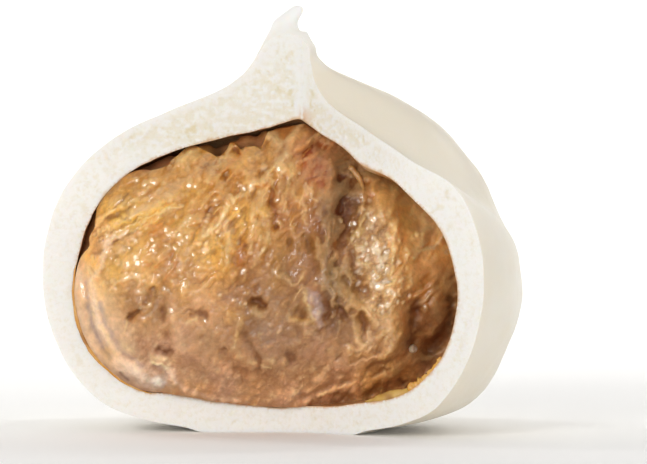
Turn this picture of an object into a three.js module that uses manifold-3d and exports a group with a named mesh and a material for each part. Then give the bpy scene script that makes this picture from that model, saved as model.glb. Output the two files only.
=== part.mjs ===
// A steamed pork bun with a wedge cut out of it, so that the meat inside shows.
// Millimetres, +Z up. The origin is on the bun's own axis, where it stands on the table.
// The cut faces -Y: its left face is square to Y, and its right face comes forward.
import * as THREE from "three";
import { mergeVertices } from "three/addons/utils/BufferGeometryUtils.js";
import Module from "manifold-3d";

const { clamp, degToRad, lerp, smoothstep } = THREE.MathUtils;

// Driving dimensions, in millimetres and degrees.
const bunRadius = 40;
const bunHeight = 71.8;
const wallThickness = 5.2;
const floorThickness = 4;
const ceilingHeight = 52.8;
const clearance = 0.45; // between the meat and the dough

// The crest of the pleats in profile, as [radius, height], from under the base to the tip.
// The base dips under the table's level by a hair, and is pressed flat there.
const crestLine = [
  [0, -0.6],
  [8, -0.55],
  [14.6, -0.1],
  [17.5, 0.75],
  [24.3, 2.1],
  [31, 4.8],
  [35.6, 9.6],
  [38.2, 14.6],
  [bunRadius, 22.5],
  [39.9, 28],
  [38.8, 34.8],
  [36.7, 39.8],
  [32.9, 44.9],
  [26.6, 49.9],
  [18.6, 53.6],
  [9.6, 57.5],
  [6.5, 60],
  [4.6, 63.5],
  [3.3, 66],
  [2.35, 68],
  [2.05, 69.3],
  [1.6, 70.6],
  [0.9, 71.5],
  [0, bunHeight],
];

// The hollow in the dough, in profile, from the middle of its floor to the top of its ceiling.
const hollowRadius = bunRadius - wallThickness;
const hollowLine = [
  [0, floorThickness],
  [13, 5.3],
  [22, 6.5],
  [27.5, 9.2],
  [32.3, 14.4],
  [hollowRadius, 22.5],
  [34, 29.6],
  [31.6, 36.8],
  [26.6, 42.8],
  [20, 46.9],
  [13, 49.2],
  [6, 50.9],
  [0, ceilingHeight],
];

// The folds that gather the dough towards the tip.
// Each valley is [bearing, share of the depth, how far round its foot swings].
const pleats = {
  depth: 5.4,
  footHeight: 28,
  fullHeight: 49,
  fadeHeight: 49,
  endHeight: 65,
  swingFrom: 51,
  swingTo: 31,
  narrow: 12,
  wide: 17,
  wideBelow: 36,
  narrowAbove: 56,
  valleys: [
    [-27, 1, 27],
    [34, 0.7, 14],
    [71, 0.85, 20],
    [110, 0.7, 12],
    [143, 0.85, 8],
    [217, 0.8, 20],
    [254, 0.9, 16],
    [289, 0.8, 22],
  ],
};

// One fold, on the right, stands higher than the rest.
const highFold = { bearing: 6, spread: 24, height: 2.9, from: 45, full: 55, fade: 56, to: 66 };

// Where the tip leans to, and how far the belly sits off the axis.
const lean = { bellyRight: 1, bellyBack: 3.2, neckRight: 0.6, tipRight: 2.1, tipBack: 3.3 };

// The end of one fold stands out beside the tip.
const foldEnd = { bearing: -15, spread: 32, height: 1.1, from: 62.5, to: 67.4 };

// A soft dent low on the right side.
const dent = { bearing: -4, spread: 14, height: 14, reach: 5, depth: 0.8 };

// The knife's two strokes meet on an upright line.
const cut = { x: 3.5, y: -1, rightBearing: -36, reach: 90 };

// The hollow's ceiling follows the folds over it in part, and its top is off the axis.
const ceiling = { share: 0.6, shift: 4, from: 7, full: 16, right: 3, rightFrom: 42 };

// The meat's front, as seen from the cut. Smaller y is nearer to the eye.
const meat = {
  centre: [-3, 25.5],
  halfWidth: 34,
  halfHeight: 24,
  rimDepth: 1.6,
  rimWidth: 12, // how far in from the hollow's wall its edge is rounded
  bulge: 7.5,
  dome: 2.6,
  recess: 4.5, // how much deeper its right side lies
  recessFrom: 10,
  recessTo: 25,
  shrink: 1.3, // how far it has drawn back from the ceiling
  shrinkFrom: 24,
  shrinkTo: 46,
};

// Torn ridges (negative rise) and clefts (positive rise): points [x, z] along each, how wide, how much.
const tears = [
  { line: [[3.2, 49], [0.7, 44.9], [-1.8, 39.8], [-3.2, 34.8], [-6, 29.7]], width: 2.6, rise: -1.8 },
  { line: [[8.6, 45], [9, 40.7], [8.2, 36.5], [7.4, 31.4], [6.9, 24.7]], width: 2, rise: -1.6 },
  { line: [[12, 43], [11.3, 36.5], [10.7, 30.6], [12.6, 24]], width: 1.9, rise: 2.8 },
  { line: [[19.2, 38], [19.7, 30.6], [19.3, 24], [20.3, 17], [18.3, 14.6]], width: 2.3, rise: -3.4 },
  { line: [[23.5, 36], [26, 32.5], [28, 32]], width: 1.6, rise: 1.4 },
  { line: [[21.9, 21.3], [24.2, 17.1], [25, 14.6]], width: 3.2, rise: 4.6 },
  { line: [[5, 6.2], [10.7, 9.6], [20, 13.4], [26, 15]], width: 1.2, rise: 1.6 },
  { line: [[9, 5.4], [18, 8], [26, 11.4]], width: 1.1, rise: 1.2 },
  { line: [[-32, 25], [-31.2, 19.5], [-29, 14], [-25, 10.4], [-17, 8.4]], width: 1.5, rise: 1.2 },
  { line: [[-30, 35], [-23, 40], [-17, 45]], width: 1.5, rise: 1.1 },
  { line: [[-27, 31], [-19, 35.5], [-12, 41.5]], width: 1.6, rise: 1 },
  { line: [[-12, 30], [-8, 36], [-3.5, 43]], width: 1.6, rise: 1.2 },
];

// Lumps of minced meat over the whole front, drawn at random from one seed.
const lumps = { count: 70, seed: 4217, least: 1.5, most: 3.4, lowest: 0.35, highest: 1.25 };

// How finely the surfaces are laid out. Rows lie closer towards the top where towardsTop is over 1.
const skinGrid = { rows: 46, columns: 78, towardsTop: 1.3 };
const hollowGrid = { rows: 22, columns: 54, towardsTop: 1 };
const meatCell = 1.15;

function smoothLine(points) {
  return new THREE.CatmullRomCurve3(
    points.map(([r, z]) => new THREE.Vector3(r, 0, z)),
    false,
    "centripetal",
  );
}

// How far one bearing is from another, between -180 and 180 degrees.
function offBearing(bearing, from) {
  return THREE.MathUtils.euclideanModulo(bearing - from + 180, 360) - 180;
}

function pleatDepth(height, bearing) {
  const reach = smoothstep(height, pleats.footHeight, pleats.fullHeight);
  const fade = 1 - smoothstep(height, pleats.fadeHeight, pleats.endHeight);
  const upper = smoothstep(height, pleats.wideBelow, pleats.narrowAbove);
  const width = lerp(pleats.wide, pleats.narrow, upper);
  const swing = 1 - smoothstep(height, pleats.swingTo, pleats.swingFrom);
  let sum = 0;
  for (const [valley, share, footSwing] of pleats.valleys)
    sum += share * Math.exp(-((offBearing(bearing, valley + swing * footSwing) / width) ** 2));
  return pleats.depth * reach * fade * Math.min(sum, 1);
}

// How far the bun's centre line stands off its axis at a height.
function centreAt(height) {
  const belly = 1 - smoothstep(height, 0, 30);
  const neck = smoothstep(height, 58, 63);
  const tip = smoothstep(height, 68.5, bunHeight);
  return [
    lean.bellyRight * belly + lean.neckRight * neck + lean.tipRight * tip,
    lean.bellyBack * belly + lean.tipBack * smoothstep(height, 61, bunHeight),
  ];
}

// One point of the bun's skin: share runs along the crest line, bearing is in degrees.
function skinPoint(curve, share, bearing) {
  const p = curve.getPointAt(share);
  const t = curve.getTangentAt(share);
  const uneven = 0.25 * Math.sin(degToRad(2 * bearing + 40)) + 0.2 * Math.sin(degToRad(3 * bearing + p.z * 5));
  const rounded = smoothstep(p.z, 4, 20) * (1 - smoothstep(p.z, 56, 64));
  let inwards = pleatDepth(p.z, bearing) - uneven * rounded;
  const dentOff = (offBearing(bearing, dent.bearing) / dent.spread) ** 2 + ((p.z - dent.height) / dent.reach) ** 2;
  inwards += dent.depth * Math.exp(-dentOff);
  const foldOff = (offBearing(bearing, foldEnd.bearing) / foldEnd.spread) ** 2;
  const foldUp = smoothstep(p.z, foldEnd.from, foldEnd.from + 2) * (1 - smoothstep(p.z, foldEnd.to - 0.5, foldEnd.to));
  inwards -= foldEnd.height * Math.exp(-foldOff) * foldUp;
  const highOff = (offBearing(bearing, highFold.bearing) / highFold.spread) ** 2;
  const highUp = smoothstep(p.z, highFold.from, highFold.full) * (1 - smoothstep(p.z, highFold.fade, highFold.to));
  inwards -= highFold.height * Math.exp(-highOff) * highUp;
  const radius = Math.max(0, p.x - inwards * t.z);
  const height = Math.max(0, p.z + inwards * t.x);
  const [cx, cy] = centreAt(p.z);
  const turn = degToRad(bearing);
  return new THREE.Vector3(cx + radius * Math.cos(turn), cy + radius * Math.sin(turn), height);
}

// One point of the hollow's wall, or of a surface that lies inset within it.
function hollowPoint(curve, share, bearing, inset) {
  const p = curve.getPointAt(share);
  const t = curve.getTangentAt(share);
  const follow = ceiling.share * smoothstep(p.x, ceiling.from, ceiling.full);
  const inwards = follow * pleatDepth(p.z + ceiling.shift, bearing) + inset(p.z);
  const radius = Math.max(0, p.x - inwards * t.z);
  const cx = hollowCentre(p.z);
  const turn = degToRad(bearing);
  return new THREE.Vector3(cx + radius * Math.cos(turn), radius * Math.sin(turn), p.z + inwards * t.x);
}

// A closed surface of rings round the Z axis, with one point at each end.
function ringSurface({ rows, columns, towardsTop }, pointAt) {
  const points = [pointAt(0, 0)];
  const faces = [];
  for (let row = 1; row < rows; row++)
    for (let column = 0; column < columns; column++)
      points.push(pointAt(1 - (1 - row / rows) ** towardsTop, (360 * column) / columns));
  points.push(pointAt(1, 0));
  const at = (row, column) => 1 + (row - 1) * columns + (column % columns);
  const last = points.length - 1;
  for (let column = 0; column < columns; column++) {
    faces.push(0, at(1, column + 1), at(1, column));
    for (let row = 1; row < rows - 1; row++) {
      const [a, b] = [at(row, column), at(row, column + 1)];
      const [c, d] = [at(row + 1, column), at(row + 1, column + 1)];
      faces.push(a, b, c, b, d, c);
    }
    faces.push(at(rows - 1, column), at(rows - 1, column + 1), last);
  }
  return new THREE.BufferGeometry().setFromPoints(points).setIndex(faces);
}

// Two strokes of a knife, as the block that they take away.
function knifeBlock() {
  const right = degToRad(cut.rightBearing);
  const outline = new THREE.Shape([
    new THREE.Vector2(cut.x, cut.y),
    new THREE.Vector2(cut.x - cut.reach, cut.y),
    new THREE.Vector2(cut.x - cut.reach, -cut.reach),
    new THREE.Vector2(cut.x + cut.reach * Math.cos(right), -cut.reach),
    new THREE.Vector2(cut.x + cut.reach * Math.cos(right), cut.y + cut.reach * Math.sin(right)),
  ]);
  const below = 5;
  const block = new THREE.ExtrudeGeometry(outline, { depth: bunHeight + 2 * below, bevelEnabled: false });
  return block.translate(0, 0, -below);
}

function distanceToLine(x, z, line) {
  let nearest = Infinity;
  for (let i = 0; i + 1 < line.length; i++) {
    const [[ax, az], [bx, bz]] = [line[i], line[i + 1]];
    const [dx, dz] = [bx - ax, bz - az];
    const along = clamp(((x - ax) * dx + (z - az) * dz) / (dx * dx + dz * dz), 0, 1);
    nearest = Math.min(nearest, Math.hypot(x - ax - along * dx, z - az - along * dz));
  }
  return nearest;
}

// A small generator, so that the lumps fall the same way each time.
function seededDraw(seed) {
  let state = seed;
  return () => {
    state = (state * 16807) % 2147483647;
    return state / 2147483647;
  };
}

function scatterLumps() {
  const draw = seededDraw(lumps.seed);
  return Array.from({ length: lumps.count }, () => {
    const out = Math.sqrt(draw());
    const turn = 2 * Math.PI * draw();
    return {
      x: meat.centre[0] + 1.12 * meat.halfWidth * out * Math.cos(turn),
      z: meat.centre[1] + meat.halfHeight * out * Math.sin(turn),
      radius: lerp(lumps.least, lumps.most, draw()),
      rise: lerp(lumps.lowest, lumps.highest, draw()),
    };
  });
}

const meatLumps = scatterLumps();
const wallLine = smoothLine(hollowLine)
  .getSpacedPoints(36)
  .map((p) => [p.x, p.z]);

// How far the hollow's centre line stands off the axis at a height.
function hollowCentre(height) {
  return ceiling.right * smoothstep(height, ceiling.rightFrom, ceilingHeight);
}

// The depth of the meat's front at a place on it.
function meatFront(x, z) {
  const off = ((x - meat.centre[0]) / meat.halfWidth) ** 2 + ((z - meat.centre[1]) / meat.halfHeight) ** 2;
  const fromWall = distanceToLine(Math.abs(x - hollowCentre(z)), z, wallLine);
  let y = meat.rimDepth - meat.bulge * Math.sin((Math.PI / 2) * Math.min(1, fromWall / meat.rimWidth));
  y -= meat.dome * Math.max(0, 1 - off);
  y += meat.recess * smoothstep(x, meat.recessFrom, meat.recessTo);
  for (const { line, width, rise } of tears)
    y += rise * Math.exp(-((distanceToLine(x, z, line) / width) ** 2));
  for (const lump of meatLumps) {
    const near = ((x - lump.x) ** 2 + (z - lump.z) ** 2) / lump.radius ** 2;
    y -= lump.rise * Math.exp(-near);
  }
  return y;
}

// A block of meat, torn on its front, which the hollow's shape then trims.
function meatBlock() {
  const [width, height] = [2 * hollowRadius + 2, ceilingHeight];
  const [nx, nz] = [Math.round(width / meatCell), Math.round(height / meatCell)];
  const block = new THREE.BoxGeometry(width, 1, height, nx, 1, nz).translate(0, 0, height / 2 + 1);
  const place = block.attributes.position;
  for (let i = 0; i < place.count; i++) {
    const [x, y, z] = [place.getX(i), place.getY(i), place.getZ(i)];
    place.setY(i, y < 0 ? meatFront(x, z) : bunRadius);
  }
  return block;
}

const manifold = await Module();
manifold.setup();

function toSolid(geometry) {
  const bare = geometry.clone();
  bare.deleteAttribute("normal");
  bare.deleteAttribute("uv");
  const merged = mergeVertices(bare, 1e-4);
  return new manifold.Manifold(
    new manifold.Mesh({
      numProp: 3,
      vertProperties: merged.attributes.position.array,
      triVerts: new Uint32Array(merged.index.array),
    }),
  );
}

function toMesh(solid, name, material) {
  const { vertProperties, triVerts } = solid.getMesh();
  const geometry = new THREE.BufferGeometry();
  geometry.setAttribute("position", new THREE.BufferAttribute(vertProperties, 3));
  geometry.setIndex(new THREE.BufferAttribute(triVerts, 1));
  geometry.computeVertexNormals();
  const mesh = new THREE.Mesh(geometry, material);
  mesh.name = name;
  return mesh;
}

function makeDough() {
  const crest = smoothLine(crestLine);
  const hollow = smoothLine(hollowLine);
  const whole = toSolid(ringSurface(skinGrid, (share, bearing) => skinPoint(crest, share, bearing)));
  const inside = toSolid(ringSurface(hollowGrid, (share, bearing) => hollowPoint(hollow, share, bearing, () => 0)));
  const solid = whole.subtract(toSolid(knifeBlock())).subtract(inside);
  const material = new THREE.MeshStandardMaterial({ color: 0xf1eee6, roughness: 0.6, metalness: 0 });
  return toMesh(solid, "dough_wrapper", material);
}

function makeMeat() {
  const hollow = smoothLine(hollowLine);
  const inset = (height) => clearance + meat.shrink * smoothstep(height, meat.shrinkFrom, meat.shrinkTo);
  const room = toSolid(ringSurface(hollowGrid, (share, bearing) => hollowPoint(hollow, share, bearing, inset)));
  const solid = toSolid(meatBlock()).intersect(room);
  const largest = solid.decompose().sort((a, b) => b.volume() - a.volume())[0];
  const material = new THREE.MeshStandardMaterial({ color: 0xb07f4c, roughness: 0.35, metalness: 0 });
  return toMesh(largest, "meat_filling", material);
}

const bun = new THREE.Group();
bun.add(makeDough(), makeMeat());

export default bun;
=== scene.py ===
import math

import bmesh
import bpy
import numpy as np
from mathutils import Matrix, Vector, noise
from mathutils.geometry import delaunay_2d_cdt


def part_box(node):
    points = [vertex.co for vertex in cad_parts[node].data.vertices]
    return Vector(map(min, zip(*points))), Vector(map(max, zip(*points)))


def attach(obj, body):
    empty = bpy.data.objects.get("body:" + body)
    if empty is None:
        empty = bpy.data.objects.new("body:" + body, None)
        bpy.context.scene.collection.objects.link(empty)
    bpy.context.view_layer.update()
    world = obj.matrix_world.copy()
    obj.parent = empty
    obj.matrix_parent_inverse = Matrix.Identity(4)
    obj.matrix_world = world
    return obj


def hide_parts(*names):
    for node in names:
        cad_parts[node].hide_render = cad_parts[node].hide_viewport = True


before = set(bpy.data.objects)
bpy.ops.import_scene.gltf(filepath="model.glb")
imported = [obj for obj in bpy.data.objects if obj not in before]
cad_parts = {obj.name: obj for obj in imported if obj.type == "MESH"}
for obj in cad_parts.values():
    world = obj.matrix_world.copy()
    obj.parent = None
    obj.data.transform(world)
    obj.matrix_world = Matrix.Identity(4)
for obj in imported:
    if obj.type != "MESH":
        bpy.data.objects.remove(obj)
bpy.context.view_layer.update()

mm = 0.001
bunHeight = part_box("dough_wrapper")[1].z / mm
print("frame loaded, bun height", round(bunHeight, 1), "mm")

# The bun's form in millimetres: the same lines and folds as its solids have.
bun = {
    "crest": [(0, -0.6), (8, -0.55), (14.6, -0.1), (17.5, 0.75), (24.3, 2.1), (31, 4.8), (35.6, 9.6),
              (38.2, 14.6), (40, 22.5), (39.9, 28), (38.8, 34.8), (36.7, 39.8), (32.9, 44.9), (26.6, 49.9),
              (18.6, 53.6), (9.6, 57.5), (6.5, 60), (4.6, 63.5), (3.3, 66), (2.35, 68), (2.05, 69.3),
              (1.6, 70.6), (0.9, 71.5), (0, bunHeight)],
    "hollow": [(0, 4), (13, 5.3), (22, 6.5), (27.5, 9.2), (32.3, 14.4), (34.8, 22.5), (34, 29.6),
               (31.6, 36.8), (26.6, 42.8), (20, 46.9), (13, 49.2), (6, 50.9), (0, 52.8)],
    "rows": 215,
    "columns": 380,
    "towardsTop": 1.15,  # above 1, the rows lie closer near the tip
    "skinWaves": 0.16,
    "waveScale": 0.14,
}
pleats = {
    "depth": 5.4,
    "foot": (28, 49),
    "fade": (49, 65),
    "swing": (31, 51),
    "width": (17, 12),
    "widthHeights": (36, 56),
    # bearing, share of the depth, and how far round the foot swings
    "valleys": [(-27, 1, 27), (34, 0.7, 14), (71, 0.85, 20), (110, 0.7, 12), (143, 0.85, 8), (217, 0.8, 20),
                (254, 0.9, 16), (289, 0.8, 22)],
}
# how far belly, neck and tip stand off the upright axis, and the heights over which each sets in or, for the
# belly, fades out
lean = {
    "bellyRight": 1, "bellyBack": 3.2, "belly": (0, 30),
    "neckRight": 0.6, "neck": (58, 63),
    "tipRight": 2.1, "tip": (68.5, bunHeight), "tipBack": 3.3, "backwards": (61, bunHeight),
}
# soft dents: bearing, height, depth, and the reach in degrees and in mm
lowDent = (-4, 14, 0.8, 14, 5)
sags = [(-36, 48.8, 2.0, 24, 2.6), (-33, 39.5, 1.4, 24, 6), (180, 5.9, 0.6, 50, 0.6),
        (-36, 5.0, -0.4, 30, 0.5)]
# folds that stand out high on the skin: bearing, reach in degrees, where they rise and fade, and how far
highFolds = [(-15, 32, (62.5, 64.5), (66.9, 67.4), 1.1), (6, 24, (45, 55), (56, 66), 2.9)]
ceiling = {"share": 0.6, "shift": 4, "radii": (7, 16), "right": 3, "rightFrom": 42, "top": 52.8}
cut = {"x": 3.5, "y": -1.0, "rightBearing": -36, "reach": 90}


def smoothstep(value, low, high):
    t = np.clip((value - low) / (high - low), 0, 1)
    return t * t * (3 - 2 * t)


def band(value, rise, fade):
    return smoothstep(value, *rise) * (1 - smoothstep(value, *fade))


def lerp(a, b, share):
    return a + (b - a) * share


def smoothLine(points, steps=48):
    # centripetal Catmull-Rom, as [distance, radius, height] samples along it
    p = np.array(points, float)
    p = np.vstack([2 * p[0] - p[1], p, 2 * p[-1] - p[-2]])
    t = np.linspace(0, 1, steps, endpoint=False)[:, None]
    samples = []
    for a, b, c, d in zip(p[:-3], p[1:-2], p[2:-1], p[3:]):
        da, db, dc = (math.sqrt(np.linalg.norm(v)) for v in (b - a, c - b, d - c))
        m1 = ((b - a) / da - (c - a) / (da + db) + (c - b) / db) * db
        m2 = ((c - b) / db - (d - b) / (db + dc) + (d - c) / dc) * db
        samples.append(b + m1 * t + (3 * (c - b) - 2 * m1 - m2) * t**2 + (2 * (b - c) + m1 + m2) * t**3)
    line = np.vstack([*samples, p[-2]])
    far = np.r_[0, np.cumsum(np.linalg.norm(np.diff(line, axis=0), axis=1))]
    return np.c_[far / far[-1], line]


def alongLine(line, share):
    # place and direction at a share of a line's length
    def at(s):
        return np.stack([np.interp(s, line[:, 0], line[:, k]) for k in (1, 2)])

    step = 1e-3
    ahead = at(np.clip(share + step, 0, 1)) - at(np.clip(share - step, 0, 1))
    return *at(share), *(ahead / np.maximum(np.linalg.norm(ahead, axis=0), 1e-9))


def turnSteps(count):
    return np.linspace(0, 360, count, endpoint=False)


def offBearing(bearing, start):
    return (bearing - start + 180) % 360 - 180


def softDent(bearing, z, at, height, depth, degrees, reach):
    return depth * np.exp(-((offBearing(bearing, at) / degrees) ** 2) - ((z - height) / reach) ** 2)


def pleatDepth(height, bearing):
    width = lerp(*pleats["width"], smoothstep(height, *pleats["widthHeights"]))
    swing = 1 - smoothstep(height, *pleats["swing"])
    total = sum(
        share * np.exp(-((offBearing(bearing, valley + swing * footSwing) / width) ** 2))
        for valley, share, footSwing in pleats["valleys"]
    )
    reach = band(height, pleats["foot"], pleats["fade"])
    return pleats["depth"] * reach * np.minimum(total, 1)


def skinPoints(shares, bearings):
    share, bearing = np.meshgrid(shares, bearings, indexing="ij")
    r, z, dr, dz = alongLine(crestLine, share)
    # never quite round between the base and the neck
    uneven = 0.25 * np.sin(np.radians(2 * bearing + 40)) + 0.2 * np.sin(np.radians(3 * bearing + z * 5))
    inwards = pleatDepth(z, bearing) - uneven * smoothstep(z, 4, 20) * (1 - smoothstep(z, 56, 64))
    inwards += softDent(bearing, z, *lowDent)
    for at, degrees, rise, fade, out in highFolds:
        inwards -= out * np.exp(-((offBearing(bearing, at) / degrees) ** 2)) * band(z, rise, fade)
    radius, height = np.maximum(0, r - inwards * dz), np.maximum(0, z + inwards * dr)
    belly = 1 - smoothstep(z, *lean["belly"])
    neck, tip = smoothstep(z, *lean["neck"]), smoothstep(z, *lean["tip"])
    cx = lean["bellyRight"] * belly + lean["neckRight"] * neck + lean["tipRight"] * tip
    cy = lean["bellyBack"] * belly + lean["tipBack"] * smoothstep(z, *lean["backwards"])
    turn = np.radians(bearing)
    return np.stack([cx + radius * np.cos(turn), cy + radius * np.sin(turn), height], axis=-1)


def hollowCentre(z):
    return ceiling["right"] * smoothstep(z, ceiling["rightFrom"], ceiling["top"])


def hollowPoints(shares, bearings, insetAt):
    share, bearing = np.meshgrid(shares, bearings, indexing="ij")
    r, z, dr, dz = alongLine(hollowLine, share)
    turn = np.radians(bearing)
    follow = ceiling["share"] * smoothstep(r, *ceiling["radii"])
    inwards = follow * pleatDepth(z + ceiling["shift"], bearing)
    for sag in sags:
        inwards += softDent(bearing, z, *sag)
    inwards += insetAt(hollowCentre(z) + r * np.cos(turn), r * np.sin(turn), z)
    radius = np.maximum(0, r - inwards * dz)
    x, y = hollowCentre(z) + radius * np.cos(turn), radius * np.sin(turn)
    return np.stack([x, y, z + inwards * dr], axis=-1)


def ringPiece(name, points, material):
    # closed surface from rows of rings; the first and last rows are single points
    rows, columns = points.shape[:2]
    places = np.vstack([points[:1, 0], points[1:-1].reshape(-1, 3), points[-1:, 0]])
    at = 1 + np.arange((rows - 2) * columns).reshape(rows - 2, columns)
    ahead = np.roll(at, -1, axis=1)
    quads = np.stack([at[:-1], ahead[:-1], ahead[1:], at[1:]], axis=-1).reshape(-1, 4).tolist()
    ends = [(0, int(b), int(a)) for a, b in zip(at[0], ahead[0])]
    ends += [(int(a), int(b), len(places) - 1) for a, b in zip(at[-1], ahead[-1])]
    return newPiece(name, places, quads + ends, material)


def newPiece(name, places, faces, material):
    mesh = bpy.data.meshes.new(name)
    mesh.from_pydata((np.asarray(places) * mm).tolist(), [], faces)
    mesh.materials.append(material)
    piece = bpy.data.objects.new(name, mesh)
    bpy.context.collection.objects.link(piece)
    return piece


def shadeSmooth(piece):
    piece.data.polygons.foreach_set("use_smooth", [True] * len(piece.data.polygons))


def writeAttribute(piece, name, values):
    # rows of four numbers are a colour, single ones a share
    kind, key = ("FLOAT_COLOR", "color") if values.ndim == 2 else ("FLOAT", "value")
    piece.data.attributes.new(name, kind, "POINT").data.foreach_set(key, values.ravel())


def triangleCount(piece):
    return sum(len(p.vertices) - 2 for p in piece.data.polygons)


def carve(piece, tool, operation):
    step = piece.modifiers.new("carve", "BOOLEAN")
    step.operation, step.object, step.solver = operation, tool, "MANIFOLD"
    step.material_mode = "TRANSFER"
    bpy.context.view_layer.objects.active = piece
    bpy.ops.object.modifier_apply(modifier=step.name)
    bpy.data.objects.remove(tool)


def lattice(ix, iz, seed):
    # a repeatable random number between 0 and 1 for each cell
    n = (ix * 374761393 + iz * 668265263 + seed * 1442695041) & 0xFFFFFFFF
    n = ((n ^ (n >> 13)) * 1274126177) & 0xFFFFFFFF
    return ((n ^ (n >> 16)) & 0xFFFF) / 65535


def softNoise(x, z, seed):
    # smooth noise between -1 and 1
    ix, iz = np.floor(x).astype(np.int64), np.floor(z).astype(np.int64)
    fx, fz = x - ix, z - iz
    fx, fz = fx * fx * (3 - 2 * fx), fz * fz * (3 - 2 * fz)
    low = lerp(lattice(ix, iz, seed), lattice(ix + 1, iz, seed), fx)
    high = lerp(lattice(ix, iz + 1, seed), lattice(ix + 1, iz + 1, seed), fx)
    return 2 * lerp(low, high, fz) - 1


def layeredNoise(x, z, seed, layers):
    total = sum(softNoise(x * 2**k + 7.3 * k, z * 2**k - 3.1 * k, seed + k) / 2**k for k in range(layers))
    return total / (2 - 2 ** (1 - layers))


def distanceToLine(x, z, line):
    nearest = np.full(np.shape(x), np.inf)
    for (ax, az), (bx, bz) in zip(line[:-1], line[1:]):
        dx, dz = bx - ax, bz - az
        along = np.clip(((x - ax) * dx + (z - az) * dz) / max(dx * dx + dz * dz, 1e-12), 0, 1)
        nearest = np.minimum(nearest, np.hypot(x - ax - along * dx, z - az - along * dz))
    return nearest


def nearLine(x, z, line, width, power=2):
    # 1 on a line, falling to 0 within about two widths of it
    return np.exp(-((distanceToLine(x, z, line) / width) ** power))


crestLine = smoothLine(bun["crest"])
hollowLine = smoothLine(bun["hollow"])
wallLine = [tuple(p) for p in hollowLine[:: len(hollowLine) // 36, 1:]]


def colour(hexCode):
    parts = [int(hexCode[i:i + 2], 16) / 255 for i in (1, 3, 5)]
    return *(c / 12.92 if c <= 0.04045 else ((c + 0.055) / 1.055) ** 2.4 for c in parts), 1.0


def rgb(hexCode):
    return np.array(colour(hexCode)[:3])


class Finish:
    # a material, with short ways to add and join its nodes
    def __init__(self, name):
        self.material = bpy.data.materials.new(name)
        self.material.use_nodes = True
        self.tree = self.material.node_tree
        self.shader = self.tree.nodes["Principled BSDF"]
        self.place = self.add("ShaderNodeTexCoord").outputs["Object"]

    def height(self):
        return self.add("ShaderNodeSeparateXYZ", {0: self.place}).outputs["Z"]

    def add(self, kind, inputs=None, **settings):
        node = self.tree.nodes.new(kind)
        for key, value in settings.items():
            setattr(node, key, value)
        for key, value in (inputs or {}).items():
            self.feed(node.inputs[key], value)
        return node

    def feed(self, socket, value):
        if isinstance(value, bpy.types.NodeSocket):
            self.tree.links.new(value, socket)
        else:
            socket.default_value = value

    def set(self, **values):
        for key, value in values.items():
            self.feed(self.shader.inputs[key.replace("_", " ")], value)

    def noise(self, scale, detail=4.0, roughness=0.55, distortion=0.0):
        inputs = {"Vector": self.place, "Scale": scale, "Detail": detail, "Roughness": roughness,
                  "Distortion": distortion}
        return self.add("ShaderNodeTexNoise", inputs).outputs["Fac"]

    def spread(self, value, low, high, newLow=0.0, newHigh=1.0):
        inputs = {"Value": value, "From Min": low, "From Max": high, "To Min": newLow, "To Max": newHigh}
        return self.add("ShaderNodeMapRange", inputs).outputs["Result"]

    def mix(self, share, a, b):
        node = self.add("ShaderNodeMix", data_type="RGBA")
        for index, value in ((0, share), (6, a), (7, b)):
            self.feed(node.inputs[index], value)
        return node.outputs[2]

    def maths(self, operation, a, b):
        return self.add("ShaderNodeMath", {0: a, 1: b}, operation=operation).outputs[0]

    def attribute(self, name, output="Fac"):
        return self.add("ShaderNodeAttribute", attribute_name=name).outputs[output]

    def bump(self, height, depth, strength, after=None):
        inputs = {"Height": height, "Distance": depth, "Strength": strength}
        if after:
            inputs["Normal"] = after
        return self.add("ShaderNodeBump", inputs).outputs["Normal"]


# tints of the steamed dough, with heights in metres
dough = {
    "skin": "#EBE5D8",
    "skinShade": "#E6DDCB",
    "neck": "#E1D8C6",
    "neckHeights": (0.038, 0.052),
    "tip": "#F0EFEC",
    "tipHeights": (0.06, 0.07),
    "crumb": "#EEECE7",
    "crumbShade": "#E7E5E0",
    "shadeHeights": (0.042, 0.05),
    "pore": "#D6C592",
    "poreShare": 0.68,
    "soaked": "#A8682E",
    "soakedPatch": "#B87838",
    "damp": "#D8B384",
    "juiceEdge": "#CC9A5E",
    "roughness": 0.42,
}


def makeSkinFinish():
    f = Finish("steamedSkin")
    patches = f.spread(f.noise(60, 3), 0.35, 0.7)
    skin = f.mix(patches, colour(dough["skin"]), colour(dough["skinShade"]))
    height = f.height()
    skin = f.mix(f.spread(height, *dough["neckHeights"]), skin, colour(dough["neck"]))
    f.set(Base_Color=f.mix(f.spread(height, *dough["tipHeights"]), skin, colour(dough["tip"])))
    f.set(Roughness=f.spread(f.noise(500, 3), 0.3, 0.7, dough["roughness"] - 0.06, dough["roughness"] + 0.08))
    f.set(Subsurface_Weight=0.35, Subsurface_Radius=(1.0, 0.75, 0.5), Subsurface_Scale=0.002, IOR=1.4)
    fine = f.bump(f.noise(1600, 3), 0.00006, 0.5)
    f.set(Normal=f.bump(f.noise(260, 4), 0.00025, 0.5, fine))
    return f.material


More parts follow.
